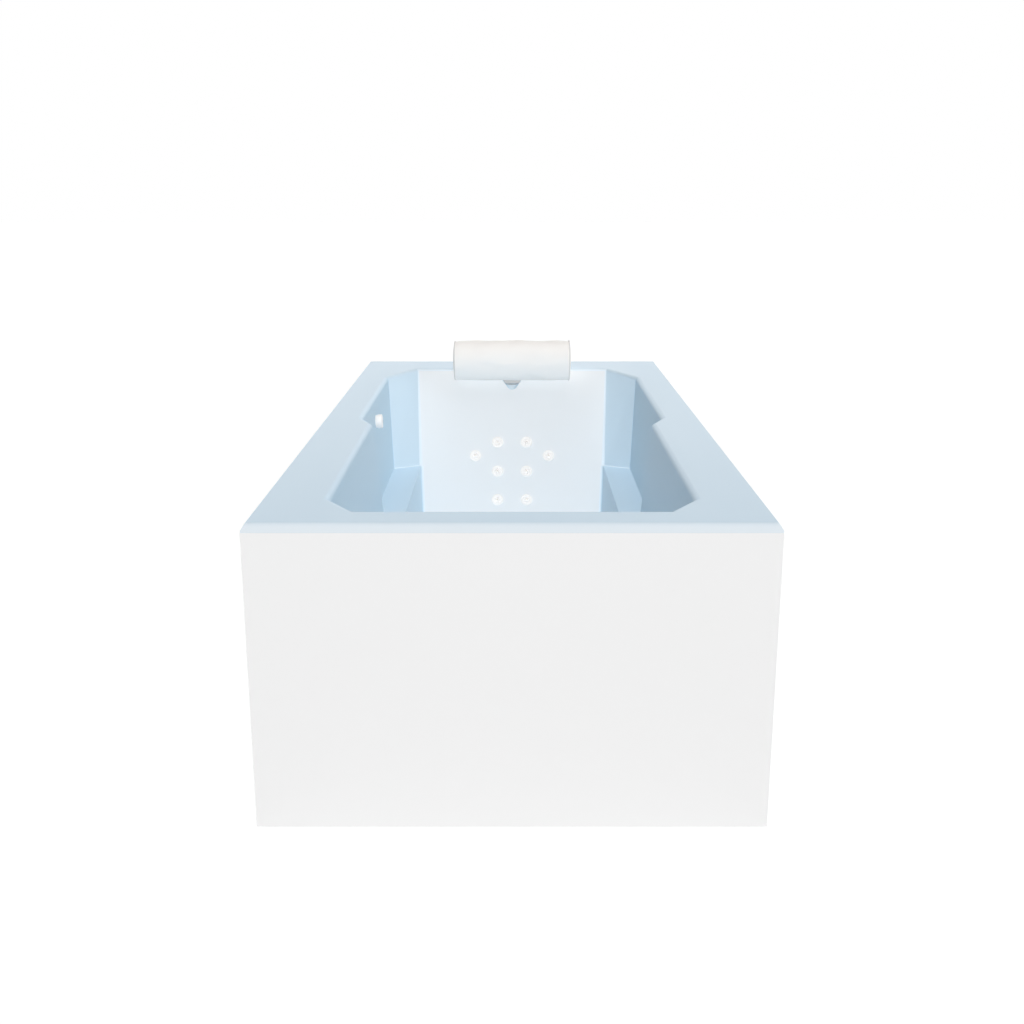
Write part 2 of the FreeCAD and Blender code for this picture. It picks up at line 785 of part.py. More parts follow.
# ---------------------------------------------------------------- manifolds
def make_water_manifold():
    slope = backrest_frame(0, manifold_reference)
    heights = [on_slope(z) for _, z in jet_places]
    low, high = min(heights) - riser_overrun, max(heights) + riser_overrun
    feed_z = pump_z + port_offset
    along = (feed_z - manifold_reference + water_depth * sin(recline)) / cos(recline)
    riser_point = slope.multVec(Vector(0, along, water_depth))
    outlet = Vector(0, pump_y - outlet_reach, feed_z)
    collar_end = outlet - Vector(0, collar_length, 0)
    outer = placed(rod(Vector(0, low, water_depth), Vector(0, high, water_depth), riser_radius), slope)
    inner = placed(rod(Vector(0, low + riser_end, water_depth), Vector(0, high - riser_end, water_depth),
                       riser_bore), slope)
    solids, bores = [outer], [inner]
    for (x, _), height in zip(jet_places, heights):
        reach = x - water_socket_reach + water_insert
        ends = Vector(-reach, height, water_depth), Vector(reach, height, water_depth)
        solids.append(placed(rod(*ends, water_branch_radius), slope))
        bores.append(placed(rod(*ends, water_branch_bore), slope))
    solids += [rod(riser_point, outlet, feed_radius), rod(collar_end, outlet, port_radius),
               ball(riser_point, feed_radius)]
    bores.append(rod(riser_point, outlet, feed_bore))
    save("water_manifold", fuse(*solids).cut(fuse(*bores)))


def make_air_manifold():
    slope = backrest_frame(0, manifold_reference)
    tip = jet_barrel_depth + jet_back_thickness
    heights = {place: on_slope(place[1]) for place in jet_places}
    column_x = min(x for x, _ in jet_places)
    top = max(heights.values()) + air_rise
    branches = [(Vector(-column_x, top, air_depth), Vector(column_x, top, air_depth))]
    columns, joints = [], []
    for side in (-1, 1):
        x = side * column_x
        columns.append((Vector(x, min(heights.values()), air_depth), Vector(x, top, air_depth)))
        joints.append(Vector(x, top, air_depth))
    for place, height in heights.items():
        for side in (-1, 1):
            elbow = Vector(side * place[0], height, air_depth)
            joints.append(elbow)
            branches.append((Vector(side * place[0], height, tip), elbow))
            if place[0] > column_x + air_radius:
                branches.append((Vector(side * column_x, height, air_depth), elbow))
    intake = Vector(0, on_slope(air_intake_height), air_depth)
    columns.append((Vector(0, top, air_depth), intake))
    outer = fuse(*[rod(a, b, air_column_radius) for a, b in columns],
                 *[rod(a, b, air_radius) for a, b in branches],
                 *[ball(joint, air_elbow_radius) for joint in joints])
    inner = fuse(*[rod(a, b, air_column_bore) for a, b in columns],
                 *[rod(a, b, air_bore) for a, b in branches])
    floor, end = intake + Vector(0, air_intake_floor, 0), intake + Vector(0, air_intake_length, 0)
    silencer = rod(intake, end, air_intake_radius)
    silencer_bore = rod(floor, end, air_intake_radius - air_intake_wall)
    solid = fuse(outer, silencer).cut(fuse(inner, silencer_bore, rod(intake, floor, air_column_bore)))
    save("air_manifold", placed(solid, slope))


# ---------------------------------------------------------------- pump
def make_pump_wet_end():
    back = -volute_half_width
    outlet = (Vector(0, port_offset, 0), Vector(-outlet_reach, port_offset, 0))
    chamber = cylinder(volute_radius - volute_wall, back + volute_wall, volute_half_width)
    volute = fuse(cylinder(volute_radius, back, volute_half_width), rod(*outlet, port_radius))
    volute = volute.cut([chamber, rod(*outlet, port_bore),
                         cylinder(volute_seal_bore, back, back + volute_wall)])
    save("pump_volute", placed(volute, pump_frame))
    face = volute_half_width + cover_thickness
    cover = fuse(cylinder(volute_radius, volute_half_width, face),
                 cylinder(port_radius, face, face + inlet_length))
    save("pump_cover", placed(cover.cut(cylinder(port_bore, volute_half_width, face + inlet_length)),
                              pump_frame))
    vanes = []
    for k in range(impeller_vanes):
        vane = box(impeller_hub_radius - blade_root, impeller_radius, 0, vane_thickness, impeller_back,
                   impeller_front)
        vanes.append(turned(vane, 360.0 * k / impeller_vanes))
    impeller = fuse(cylinder(impeller_hub_radius, impeller_back, impeller_front),
                    cylinder(impeller_radius, impeller_back, impeller_back + impeller_disc), *vanes)
    save("pump_impeller", placed(impeller.cut(cylinder(shaft_radius, impeller_back, impeller_front)),
                                 pump_frame))


def motor_rib(angle):
    rib = box(motor_radius - rib_root, motor_radius + rib_height, -rib_width / 2, rib_width / 2,
              motor_back + rib_insets[0], motor_front - rib_insets[1])
    return turned(rib, angle)


def make_motor():
    bearing = shaft_radius + running_gap
    body = cylinder(motor_radius, motor_back, motor_front)
    adapter = cylinder(motor_bore, motor_front, -volute_half_width)
    angles = [360.0 * (k + 0.5) / rib_count for k in range(rib_count)]
    ribs = [motor_rib(a) for a in angles if min(abs(a - 90), abs(a - 270)) > rib_free_angle]
    hollow = cylinder(motor_bore, motor_back + motor_plate, motor_front - motor_plate)
    shaft_way = cylinder(bearing, motor_back, motor_front)
    adapter_way = cylinder(volute_seal_bore, motor_front, -volute_half_width)
    housing = fuse(body, adapter, *ribs).cut([hollow, shaft_way, adapter_way])
    save("motor_housing", placed(housing, pump_frame))
    shaft = fuse(cylinder(shaft_radius, shaft_back, shaft_front), cylinder(core_radius, *core_ends))
    save("motor_shaft", placed(shaft, pump_frame))
    blades = [turned(box(fan_hub_radius - blade_root, fan_radius, 0, fan_blade_thickness, *fan_ends),
                     360.0 * k / fan_blades) for k in range(fan_blades)]
    fan = fuse(cylinder(fan_hub_radius, *fan_ends), *blades).cut(cylinder(shaft_radius, *fan_ends))
    save("motor_fan", placed(fan, pump_frame))
    cup = cylinder(motor_radius + fan_cover_wall, fan_cover_back, motor_back + motor_plate)
    cup = cup.cut(cylinder(motor_radius, fan_cover_back + fan_cover_wall, motor_back + motor_plate))
    slot = box(fan_hub_radius, fan_radius, -fan_slot_width / 2, fan_slot_width / 2, fan_cover_back,
               fan_cover_back + fan_cover_wall)
    slots = [turned(slot, 360.0 * k / fan_slots) for k in range(fan_slots)]
    save("fan_cover", placed(cup.cut(slots), pump_frame))


def make_pump_fixtures():
    bottom = -pump_axis_over_board
    motor_ends = (fan_cover_back, volute_half_width)
    plate = box(-foot_half_width, foot_half_width, bottom, bottom + foot_plate,
                foot_saddle_ends[0], volute_half_width)
    saddle_width = foot_half_width * foot_saddle_share
    saddle = box(-saddle_width, saddle_width, bottom, 0, *foot_saddle_ends)
    motor = cylinder(motor_radius, motor_back, motor_front)
    low = box(-foot_half_width, foot_half_width, bottom, -motor_radius / 2, *motor_ends)
    save("pump_foot", placed(fuse(plate, saddle).cut(motor).common(low), pump_frame))
    top = motor_radius + box_height
    terminal = box(-box_half_width, box_half_width, 0, top, *box_ends).cut(motor)
    terminal = terminal.common(box(-box_half_width, box_half_width, motor_radius / 2, top, *motor_ends))
    inside = box(box_wall - box_half_width, box_half_width - box_wall, motor_radius + box_wall,
                 top - box_wall, box_ends[0] + box_wall, box_ends[1] - box_wall)
    barb_y = top - box_height / 3
    barb = rod(Vector(0, barb_y, box_ends[0]), Vector(0, barb_y, box_ends[0] - barb_length), barb_radius)
    barb_way = rod(Vector(0, barb_y, box_ends[0] + box_wall),
                   Vector(0, barb_y, box_ends[0] - barb_length), barb_bore)
    gland_y = motor_radius + box_height / 2
    gland_z = (box_ends[0] + box_ends[1]) / 2
    gland_place = frame(Vector(box_half_width, gland_y, gland_z), Vector(0, 1, 0), Vector(1, 0, 0))
    gland_way = placed(cylinder(gland_radius, -box_wall - cut_past, cut_past), gland_place)
    save("terminal_box", placed(fuse(terminal, barb).cut([inside, barb_way, gland_way]), pump_frame))
    gland = fuse(cylinder(gland_radius, -gland_shank, gland_length),
                 hexagon(gland_flats, 0, gland_hex)).cut(cylinder(gland_bore, -gland_shank, gland_length))
    save("cable_gland", placed(placed(gland, gland_place), pump_frame))
    return pump_frame.multVec(Vector(0, barb_y, box_ends[0] - barb_length))


# ---------------------------------------------------------------- suction
def make_suction():
    centre = Vector(0, 0, chamber_centre)
    port = Vector(socket_reach, 0, chamber_centre)
    outer = fuse(cylinder(suction_flange_radius, -suction_flange_thickness, 0),
                 cylinder(suction_barrel_radius, 0, suction_barrel_depth),
                 cylinder(chamber_radius, suction_barrel_depth, chamber_depth),
                 rod(centre, port, socket_radius))
    inner = fuse(cylinder(suction_bore, -suction_flange_thickness, chamber_depth - chamber_wall),
                 rod(centre, port, pipe_bore),
                 rod(port - Vector(socket_insert, 0, 0), port, pipe_radius + running_gap))
    save("suction_body", placed(outer.cut(inner), suction_frame))
    face = -suction_flange_thickness - suction_cover_height
    cover = cylinder(suction_cover_radius, face, -suction_flange_thickness)
    inside = cylinder(suction_cover_radius - suction_cover_wall, face + suction_cover_wall,
                      -suction_flange_thickness)
    holes = []
    for radius in suction_hole_rings:
        count = round(2 * math.pi * radius / suction_hole_pitch)
        hole = cylinder(suction_hole_radius, face, face + suction_cover_wall, radius)
        holes += [turned(hole, 360.0 * k / count) for k in range(count)]
    save("suction_cover", placed(cover.cut([inside] + holes), suction_frame))
    start = suction_frame.multVec(port - Vector(socket_insert, 0, 0))
    corner = Vector(start.x, pump_y, pump_z)
    inlet = Vector(volute_half_width + cover_thickness + inlet_length, pump_y, pump_z)
    outer = fuse(rod(start, corner, pipe_radius), ball(corner, pipe_radius), rod(corner, inlet, pipe_radius),
                 rod(inlet + Vector(collar_length, 0, 0), inlet, port_radius))
    inner = fuse(rod(start, corner, pipe_bore), ball(corner, pipe_bore), rod(corner, inlet, pipe_bore))
    save("suction_pipe", outer.cut(inner))


# ---------------------------------------------------------------- waste and overflow
def make_waste():
    top = floor_height + drain_flange_thickness
    throat_end = floor_height - drain_throat_length
    flange = fuse(cylinder(drain_flange_radius, floor_height, top, 0.0, drain_y),
                  cylinder(drain_throat_radius, throat_end, floor_height, 0.0, drain_y))
    flange = flange.cut(cylinder(drain_throat_bore, throat_end, top, 0.0, drain_y))
    hub_low = throat_end + spider_arm
    reach = drain_throat_bore + spider_root
    arms = [box(-reach, reach, drain_y - spider_arm / 2, drain_y + spider_arm / 2,
                hub_low, hub_low + spider_arm),
            box(-spider_arm / 2, spider_arm / 2, drain_y - reach, drain_y + reach,
                hub_low, hub_low + spider_arm)]
    hub = cylinder(spider_hub_radius, hub_low, hub_low + spider_hub_height, 0.0, drain_y)
    guide = cylinder(stopper_stem_radius + running_gap, hub_low, hub_low + spider_hub_height, 0.0, drain_y)
    save("drain_flange", fuse(flange, hub, *arms).cut(guide))

    head_low = top + loose_gap
    head = cylinder(stopper_radius, head_low, head_low + stopper_thickness, 0.0, drain_y)
    crown = [edge for edge in head.Edges if edge.BoundBox.ZMin > head_low + stopper_thickness - 0.01]
    head = head.makeFillet(stopper_thickness / 2, crown)
    stem = cylinder(stopper_stem_radius, head_low - stopper_stem_length, head_low, 0.0, drain_y)
    save("drain_stopper", fuse(head, stem))

    elbow = overflow_frame.multVec(Vector(0, 0, overflow_depth))
    tee = Vector(0, elbow.y, waste_height)
    pipe_end = tee + Vector(0, pipe_radius, 0)
    shoe_top = board_top - gasket_thickness
    shoe = fuse(cylinder(shoe_radius, shoe_floor, shoe_top, 0.0, drain_y),
                rod(Vector(0, drain_y, waste_height), pipe_end, pipe_radius))
    shoe = shoe.cut([cylinder(drain_throat_radius + snug_gap, throat_end, shoe_top, 0.0, drain_y),
                     cylinder(drain_throat_bore, shoe_floor + shoe_wall, throat_end, 0.0, drain_y),
                     rod(Vector(0, drain_y, waste_height), pipe_end, pipe_bore)])
    save("drain_shoe", shoe)

    socket_end = pipe_end + Vector(0, socket_insert, 0)
    outlet = Vector(0, tee.y, waste_outlet_bottom)
    shoulder = Vector(0, tee.y, outlet_shoulder)
    elbow_parts = fuse(cylinder(overflow_flange_radius, foot_wall + gasket_thickness,
                                foot_wall + gasket_thickness + overflow_flange_thickness),
                       cylinder(overflow_barrel_radius, foot_wall + gasket_thickness, overflow_depth))
    outer = fuse(placed(elbow_parts, overflow_frame), ball(elbow, overflow_barrel_radius),
                 rod(elbow, tee, pipe_radius), ball(tee, tee_radius), rod(tee, socket_end, tee_radius),
                 rod(tee, shoulder, tee_radius), rod(shoulder, outlet, outlet_radius))
    inner = fuse(placed(cylinder(overflow_bore, foot_wall, overflow_depth), overflow_frame),
                 ball(elbow, overflow_bore), rod(elbow, outlet, pipe_bore), rod(tee, pipe_end, pipe_bore),
                 rod(pipe_end, socket_end, pipe_radius + running_gap))
    save("overflow_pipe", outer.cut(inner))


def make_overflow_trim():
    shaft_way = cylinder(knob_shaft_radius + running_gap, -plate_thickness, plate_hub_depth)
    slots = [turned(cylinder(plate_hole_radius, -plate_thickness, 0, plate_hole_circle), 60.0 * k)
             for k in range(6)]
    plate = fuse(cylinder(plate_radius, -plate_thickness, 0), cylinder(plate_hub_radius, 0, plate_hub_depth))
    save("overflow_plate", placed(plate.cut([shaft_way] + slots), overflow_frame))
    base = -plate_thickness - knob_gap
    grips = [turned(cylinder(knob_grip_radius, base - knob_height, base - knob_height / 4,
                             knob_radius + knob_grip_radius / 2), 360.0 * k / knob_grips)
             for k in range(knob_grips)]
    knob = cylinder(knob_radius, base - knob_height, base).cut(grips)
    shaft = cylinder(knob_shaft_radius, base, plate_hub_depth + knob_shaft_overrun)
    save("overflow_knob", placed(fuse(knob, shaft), overflow_frame))


# ---------------------------------------------------------------- air push button and its tube
def bent_tube(points, radius, bore):
    """Tube of straight runs joined by tangent arcs; prints the arcs' radii and checks the volume."""
    edges, radii = [], []
    start = points[0]
    for before, corner, after in zip(points, points[1:], points[2:]):
        into, out = (corner - before), (after - corner)
        trim = air_tube_bend * min(into.Length, out.Length)
        a = corner - into.normalize() * trim
        b = corner + out.normalize() * trim
        turn = into.getAngle(out)
        arc_radius = trim / math.tan(turn / 2)
        radii.append(arc_radius)
        inner = corner + (out - into).normalize() * (arc_radius / math.cos(turn / 2) - arc_radius)
        edges += [Part.makeLine(start, a), Part.Arc(a, inner, b).toShape()]
        start = b
    edges.append(Part.makeLine(start, points[-1]))
    path = Part.Wire(edges)
    tangent = points[1] - points[0]
    sections = [Part.Wire(Part.makeCircle(r, points[0], tangent)) for r in (radius, bore)]
    outer, inner = [path.makePipeShell([section], True, False) for section in sections]
    expected = math.pi * radius ** 2 * path.Length
    print("air tube radii", [round(r) for r in radii], "volume", round(outer.Volume / expected, 4))
    return outer.cut(inner)


def make_button(switch_barb):
    back = bezel_chamber_depth - bezel_chamber_wall
    stem_way = cylinder(cap_stem_radius + running_gap, -bezel_height, back)
    barb_z = bezel_barrel_depth + barb_setback
    barb_tip = Vector(0, -bezel_chamber_radius - barb_length, barb_z)
    body = fuse(cylinder(bezel_radius, -bezel_height, 0),
                cylinder(bezel_barrel_radius, 0, bezel_barrel_depth),
                cylinder(bezel_chamber_radius, bezel_barrel_depth, bezel_chamber_depth),
                rod(Vector(0, 0, barb_z), barb_tip, barb_radius))
    save("button_bezel", placed(body.cut([stem_way, rod(Vector(0, 0, barb_z), barb_tip, barb_bore)]),
                                button_frame))
    cup = cylinder(cap_radius, -cap_height, -cap_rim)
    crown = [edge for edge in cup.Edges if edge.BoundBox.ZMax < 0.01 - cap_height]
    cup = cup.makeFillet(cap_edge, crown)
    cup = cup.cut(cylinder(bezel_radius + loose_gap, cap_top - cap_height, -cap_rim))
    stem = cylinder(cap_stem_radius, cap_top - cap_height - cap_stem_root, cap_stem_depth)
    save("button_cap", placed(fuse(cup, stem), button_frame))

    start = button_frame.multVec(barb_tip + Vector(0, barb_length, 0))
    direction = button_frame.Rotation.multVec(Vector(0, -1, 0))
    route = [start] + [Vector(inset - tub_width / 2, button_y + share * (pump_y - button_y), z)
                       for inset, share, z in air_tube_route]
    route[1] = start + direction * (start.z - route[1].z)
    route += [switch_barb - Vector(air_tube_lead, 0, 0), switch_barb + Vector(barb_length, 0, 0)]
    save("air_tube", bent_tube(route, air_tube_radius, barb_radius + running_gap))


# ---------------------------------------------------------------- pillow
def pillow_solid():
    """Bolster turned about its length, with a crown, drawn-in seams, piping and domed ends."""
    seam = pillow_half_length - pillow_seam_inset
    piping = seam + pillow_piping / 2
    shoulder = seam + pillow_piping
    crown = Part.Arc(Vector(-seam, pillow_seam_radius, 0), Vector(0, pillow_crown_radius, 0),
                     Vector(seam, pillow_seam_radius, 0)).toShape()
    edges = [crown]
    for side in (-1, 1):
        edges.append(Part.Arc(Vector(side * seam, pillow_seam_radius, 0),
                              Vector(side * piping, pillow_piping_radius, 0),
                              Vector(side * shoulder, pillow_seam_radius, 0)).toShape())
        edge = Vector(side * shoulder, pillow_seam_radius, 0)
        flat = Vector(side * pillow_half_length, pillow_end_radius, 0)
        bulge = (edge + flat) * 0.5 + Vector(side, 1, 0).normalize() * pillow_end_bulge
        edges.append(Part.Arc(edge, bulge, flat).toShape())
        edges.append(Part.makeLine(flat, Vector(side * pillow_half_length, 0, 0)))
    edges.append(Part.makeLine(Vector(-pillow_half_length, 0, 0), Vector(pillow_half_length, 0, 0)))
    profile = Part.Face(Part.Wire(Part.__sortEdges__(edges)))
    bolster = profile.revolve(Vector(0, 0, 0), Vector(1, 0, 0), 360)
    bolster.translate(Vector(0, pillow_y, pillow_height))
    return bolster


def rim_envelope():
    """Everything under the deck or behind the backrest, grown by the loose gap."""
    top = deck_height + loose_gap
    slope_gap = loose_gap / cos(recline)
    low = ledge_height
    reach = tub_width
    section = [Vector(-reach, backrest_y_at(top) - slope_gap, top), Vector(-reach, tub_length, top),
               Vector(-reach, tub_length, low), Vector(-reach, backrest_y_at(low) - slope_gap, low)]
    return prism(section, Vector(2 * reach, 0, 0))


def make_pillow():
    pillow = pillow_solid().cut(rim_envelope())
    save("pillow", pillow)
    growth = (scoop_top_radius - scoop_tip_radius) / scoop_length
    low = scoop_tip_radius - tongue_gap + growth * tongue_start
    high = low + growth * tongue_length
    cone = Part.makeCone(low, high, tongue_length, Vector(0, tongue_start, 0), Vector(0, 1, 0))
    cone = cone.makeFillet(tongue_edge, [edge for edge in cone.Edges if edge.BoundBox.YMax < tongue_start + 0.01])
    proud = box(-tub_width, tub_width, -tub_width, tub_width, -tongue_proud, tub_width)
    tongue = placed(cone.common(proud), scoop_frame).cut(pillow)
    save("pillow_tongue", max(tongue.Solids, key=lambda solid: solid.Volume))


# ---------------------------------------------------------------- the whole tub
def main():
    os.makedirs("parts", exist_ok=True)
    save("tub_shell", make_tub_shell())
    make_base()
    make_frame()
    make_skirts()
    make_jets()
    make_gaskets_and_nuts()
    make_water_manifold()
    make_air_manifold()
    make_pump_wet_end()
    make_motor()
    switch_barb = make_pump_fixtures()
    make_suction()
    make_waste()
    make_overflow_trim()
    make_button(switch_barb)
    make_pillow()


main()
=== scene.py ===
"""Jetted bathtub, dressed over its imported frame. Metres, in the frame's own axes.

+X is to the right as seen from the foot end, +Y runs from the foot end to the head end, +Z is up,
and the floor is at z = 0.
"""

import json
import logging
import math
from dataclasses import dataclass
from enum import Enum
from typing import Iterable, Optional, Sequence, Union

import bmesh
import bpy
from mathutils import Matrix, Vector, noise

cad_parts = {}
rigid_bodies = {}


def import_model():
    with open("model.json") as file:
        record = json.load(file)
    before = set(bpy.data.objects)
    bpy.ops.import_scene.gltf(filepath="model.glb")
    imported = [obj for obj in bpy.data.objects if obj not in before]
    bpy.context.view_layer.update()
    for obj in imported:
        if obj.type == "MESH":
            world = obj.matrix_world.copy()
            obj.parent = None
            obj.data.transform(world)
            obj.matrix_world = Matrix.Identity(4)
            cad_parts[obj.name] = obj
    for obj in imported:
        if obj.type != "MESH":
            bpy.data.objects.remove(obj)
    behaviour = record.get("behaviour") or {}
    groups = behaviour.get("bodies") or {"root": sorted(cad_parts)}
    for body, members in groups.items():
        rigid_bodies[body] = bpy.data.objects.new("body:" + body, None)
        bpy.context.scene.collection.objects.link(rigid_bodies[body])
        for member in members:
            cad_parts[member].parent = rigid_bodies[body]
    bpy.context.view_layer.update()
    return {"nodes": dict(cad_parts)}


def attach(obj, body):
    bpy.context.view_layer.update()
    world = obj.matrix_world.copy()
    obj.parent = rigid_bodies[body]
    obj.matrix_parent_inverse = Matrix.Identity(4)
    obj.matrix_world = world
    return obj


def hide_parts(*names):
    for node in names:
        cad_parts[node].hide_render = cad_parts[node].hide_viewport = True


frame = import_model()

log = logging.getLogger("bathtub")

BMesh, BMVert = bmesh.types.BMesh, bmesh.types.BMVert
Piece = bpy.types.Object
Colour = tuple[float, float, float]
Point = tuple[float, float, float]
Spot = tuple[float, float]


# ---- small helpers
def srgb(*channels: int) -> Colour:
    """A colour as a picture shows it, 0 to 255 a channel, made linear."""
    shares = [channel / 255 for channel in channels]
    return tuple(share / 12.92 if share <= 0.04045 else ((share + 0.055) / 1.055) ** 2.4 for share in shares)


def tan(degrees: float) -> float:
    """Tangent of an angle in degrees."""
    return math.tan(math.radians(degrees))


def on_wall(point: Point, side: Spot, lean: float) -> Matrix:
    """Frame of a fitting on a leaning wall.

    Args:
        point: where the fitting's axis meets the wall's inner face.
        side: the level direction through the wall, away from the basin.
        lean: the wall's angle from upright, in degrees.

    Returns:
        The matrix from the fitting's frame to the tub's: Y up the wall, Z away from the basin.
    """
    sine, cosine = math.sin(math.radians(lean)), math.cos(math.radians(lean))
    up = Vector((side[0] * sine, side[1] * sine, cosine))
    outward = Vector((side[0] * cosine, side[1] * cosine, -sine))
    return Matrix.Translation(point) @ Matrix((up.cross(outward), up, outward)).transposed().to_4x4()


class Body(Enum):
    """The frame's bodies that pieces ride on, apart from the jets' own."""

    TUB = "tub"
    PILLOW = "pillow_body"
    BUTTON = "button_body"


# ---- shader nodes
class Wire:
    """A shader socket that takes Python's arithmetic. Each operation adds a Math node."""

    def __init__(self, graph: "Graph", socket: bpy.types.NodeSocket) -> None:
        """Keeps the socket and the node tree it belongs to."""
        self.graph = graph
        self.socket = socket

    def __add__(self, other: "Value") -> "Wire":
        """self + other."""
        return self.graph.math("ADD", self, other)

    def __sub__(self, other: "Value") -> "Wire":
        """self - other."""
        return self.graph.math("SUBTRACT", self, other)

    def __rsub__(self, other: "Value") -> "Wire":
        """other - self."""
        return self.graph.math("SUBTRACT", other, self)

    def __mul__(self, other: "Value") -> "Wire":
        """self * other."""
        return self.graph.math("MULTIPLY", self, other)

    def __gt__(self, other: "Value") -> "Wire":
        """1 where self is above other."""
        return self.graph.math("GREATER_THAN", self, other)


Value = Union[Wire, float, Colour]


class Graph:
    """A node tree, built up from empty."""

    def __init__(self, tree: bpy.types.NodeTree) -> None:
        """Empties the tree."""
        self.tree = tree
        self.tree.nodes.clear()

    def _give(self, socket: bpy.types.NodeSocket, value: Value) -> None:
        """Links a wire to a socket, or sets a constant on it."""
        if isinstance(value, Wire):
            self.tree.links.new(value.socket, socket)
        elif socket.type == "RGBA":
            socket.default_value = (*value, 1.0)
        else:
            socket.default_value = value

    def node(self, kind: str, settings: Optional[dict] = None, values: Optional[dict] = None,
             out: Union[int, str, None] = 0) -> Optional[Wire]:
        """Adds a node.

        Args:
            kind: the node's Blender type.
            settings: its own settings; "stops" gives a colour ramp's positions and colours.
            values: constants or wires by input name or number.
            out: which output is returned, or None for none.

        Returns:
            The output, as a wire.
        """
        made = self.tree.nodes.new(kind)
        for key, setting in (settings or {}).items():
            if key == "stops":
                ramp = made.color_ramp
                while len(ramp.elements) < len(setting):
                    ramp.elements.new(0.5)
                for element, (position, colour) in zip(ramp.elements, setting):
                    element.position = position
                    element.color = (*colour, 1.0)
            else:
                setattr(made, key, setting)
        for key, value in (values or {}).items():
            self._give(made.inputs[key], value)
        return None if out is None else Wire(self, made.outputs[out])

    def math(self, operation: str, *values: Value) -> Wire:
        """A Math node's result, from one value or two."""
        return self.node("ShaderNodeMath", {"operation": operation}, dict(enumerate(values)))

    def spread(self, value: Wire, low: float, high: float) -> Wire:
        """A value of 0 to 1 carried to another range, held inside it."""
        return self.node("ShaderNodeMapRange", {"clamp": True},
                         {"Value": value, "To Min": low, "To Max": high})

    def seen(self) -> Wire:
        """1 to the camera, reflections and refractions, and 0 to rays that light things."""
        found: Value = 0.0
        for kind in ("Is Camera Ray", "Is Glossy Ray", "Is Transmission Ray"):
            found = self.math("MAXIMUM", found, self.node("ShaderNodeLightPath", out=kind))
        return found


class Shader(Graph):
    """One procedural material: a Principled BSDF and the nodes that feed it."""

    def __init__(self, name: str) -> None:
        """Starts a material with an empty node tree and its Principled BSDF."""
        self.material = bpy.data.materials.new(name)
        self.material.use_nodes = True
        super().__init__(self.material.node_tree)
        self.surface = self.tree.nodes.new("ShaderNodeBsdfPrincipled")
        self.node("ShaderNodeOutputMaterial", None, {"Surface": Wire(self, self.surface.outputs[0])}, None)

    def set(self, **values: Value) -> None:
        """Sets the Principled BSDF's sockets; an underscore in a name stands for a space."""
        for key, value in values.items():
            self._give(self.surface.inputs[key.replace("_", " ")], value)

    def place(self, stretch: Point = (1, 1, 1)) -> Wire:
        """Object coordinates, with each axis scaled."""
        own = self.node("ShaderNodeTexCoord", out="Object")
        return self.node("ShaderNodeMapping", {"vector_type": "POINT"}, {"Vector": own, "Scale": stretch})

    def noise(self, scale: float, detail: float = 2.0, roughness: float = 0.5,
              where: Optional[Wire] = None) -> Wire:
        """Noise from 0 to 1, in Object coordinates unless told otherwise."""
        return self.node("ShaderNodeTexNoise", None,
                         {"Vector": where or self.place(), "Scale": scale, "Detail": detail,
                          "Roughness": roughness})

    def mix(self, share: Value, first: Value, second: Value) -> Wire:
        """Colour between two colours."""
        return self.node("ShaderNodeMix", {"data_type": "RGBA"},
                         {0: share, 6: first, 7: second}, out=2)

    def bump(self, height: Value, distance: float, strength: float = 1.0) -> Wire:
        """Normal from a height of 0 to 1 over a distance in metres."""
        return self.node("ShaderNodeBump", None,
                         {"Height": height, "Distance": distance, "Strength": strength})


# ---- finishes
@dataclass(frozen=True)
class Finish:
    """A finish with a name, its two close tones and its gloss, and the patterns that vary them.

    The mottle and the relief are each a noise's scale, detail and roughness.
    """

    name: str
    tone: Colour
    shade: Colour
    roughness: float = 0.4
    roughness_swing: float = 0.06
    mottle: Point = (34.0, 3.0, 0.5)
    relief: Point = (900.0, 2.0, 0.5)
    relief_depth: float = 0.00004
    relief_strength: float = 1.0
    metallic: float = 0.0

    def colour(self, shader: Shader, pattern: Wire) -> Wire:
        """The two tones, mixed by a pattern."""
        return shader.mix(pattern, self.tone, self.shade)

    def gloss(self, shader: Shader, pattern: Wire) -> Wire:
        """The roughness, swung by a pattern."""
        return shader.spread(pattern, self.roughness - self.roughness_swing,
                             self.roughness + self.roughness_swing)

    def dress(self, shader: Shader) -> None:
        """Adds the finish's nodes: mottled tone and gloss, and a fine relief."""
        mottle = shader.noise(*self.mottle)
        shader.set(Base_Color=self.colour(shader, mottle), Roughness=self.gloss(shader, mottle),
                   Metallic=self.metallic)
        if self.relief_depth:
            shader.set(Normal=shader.bump(shader.noise(*self.relief), self.relief_depth, self.relief_strength))

    def material(self) -> bpy.types.Material:
        """The finish as a Blender material, made once."""
        if self.name not in bpy.data.materials:
            self.dress(Shader(self.name))
        return bpy.data.materials[self.name]


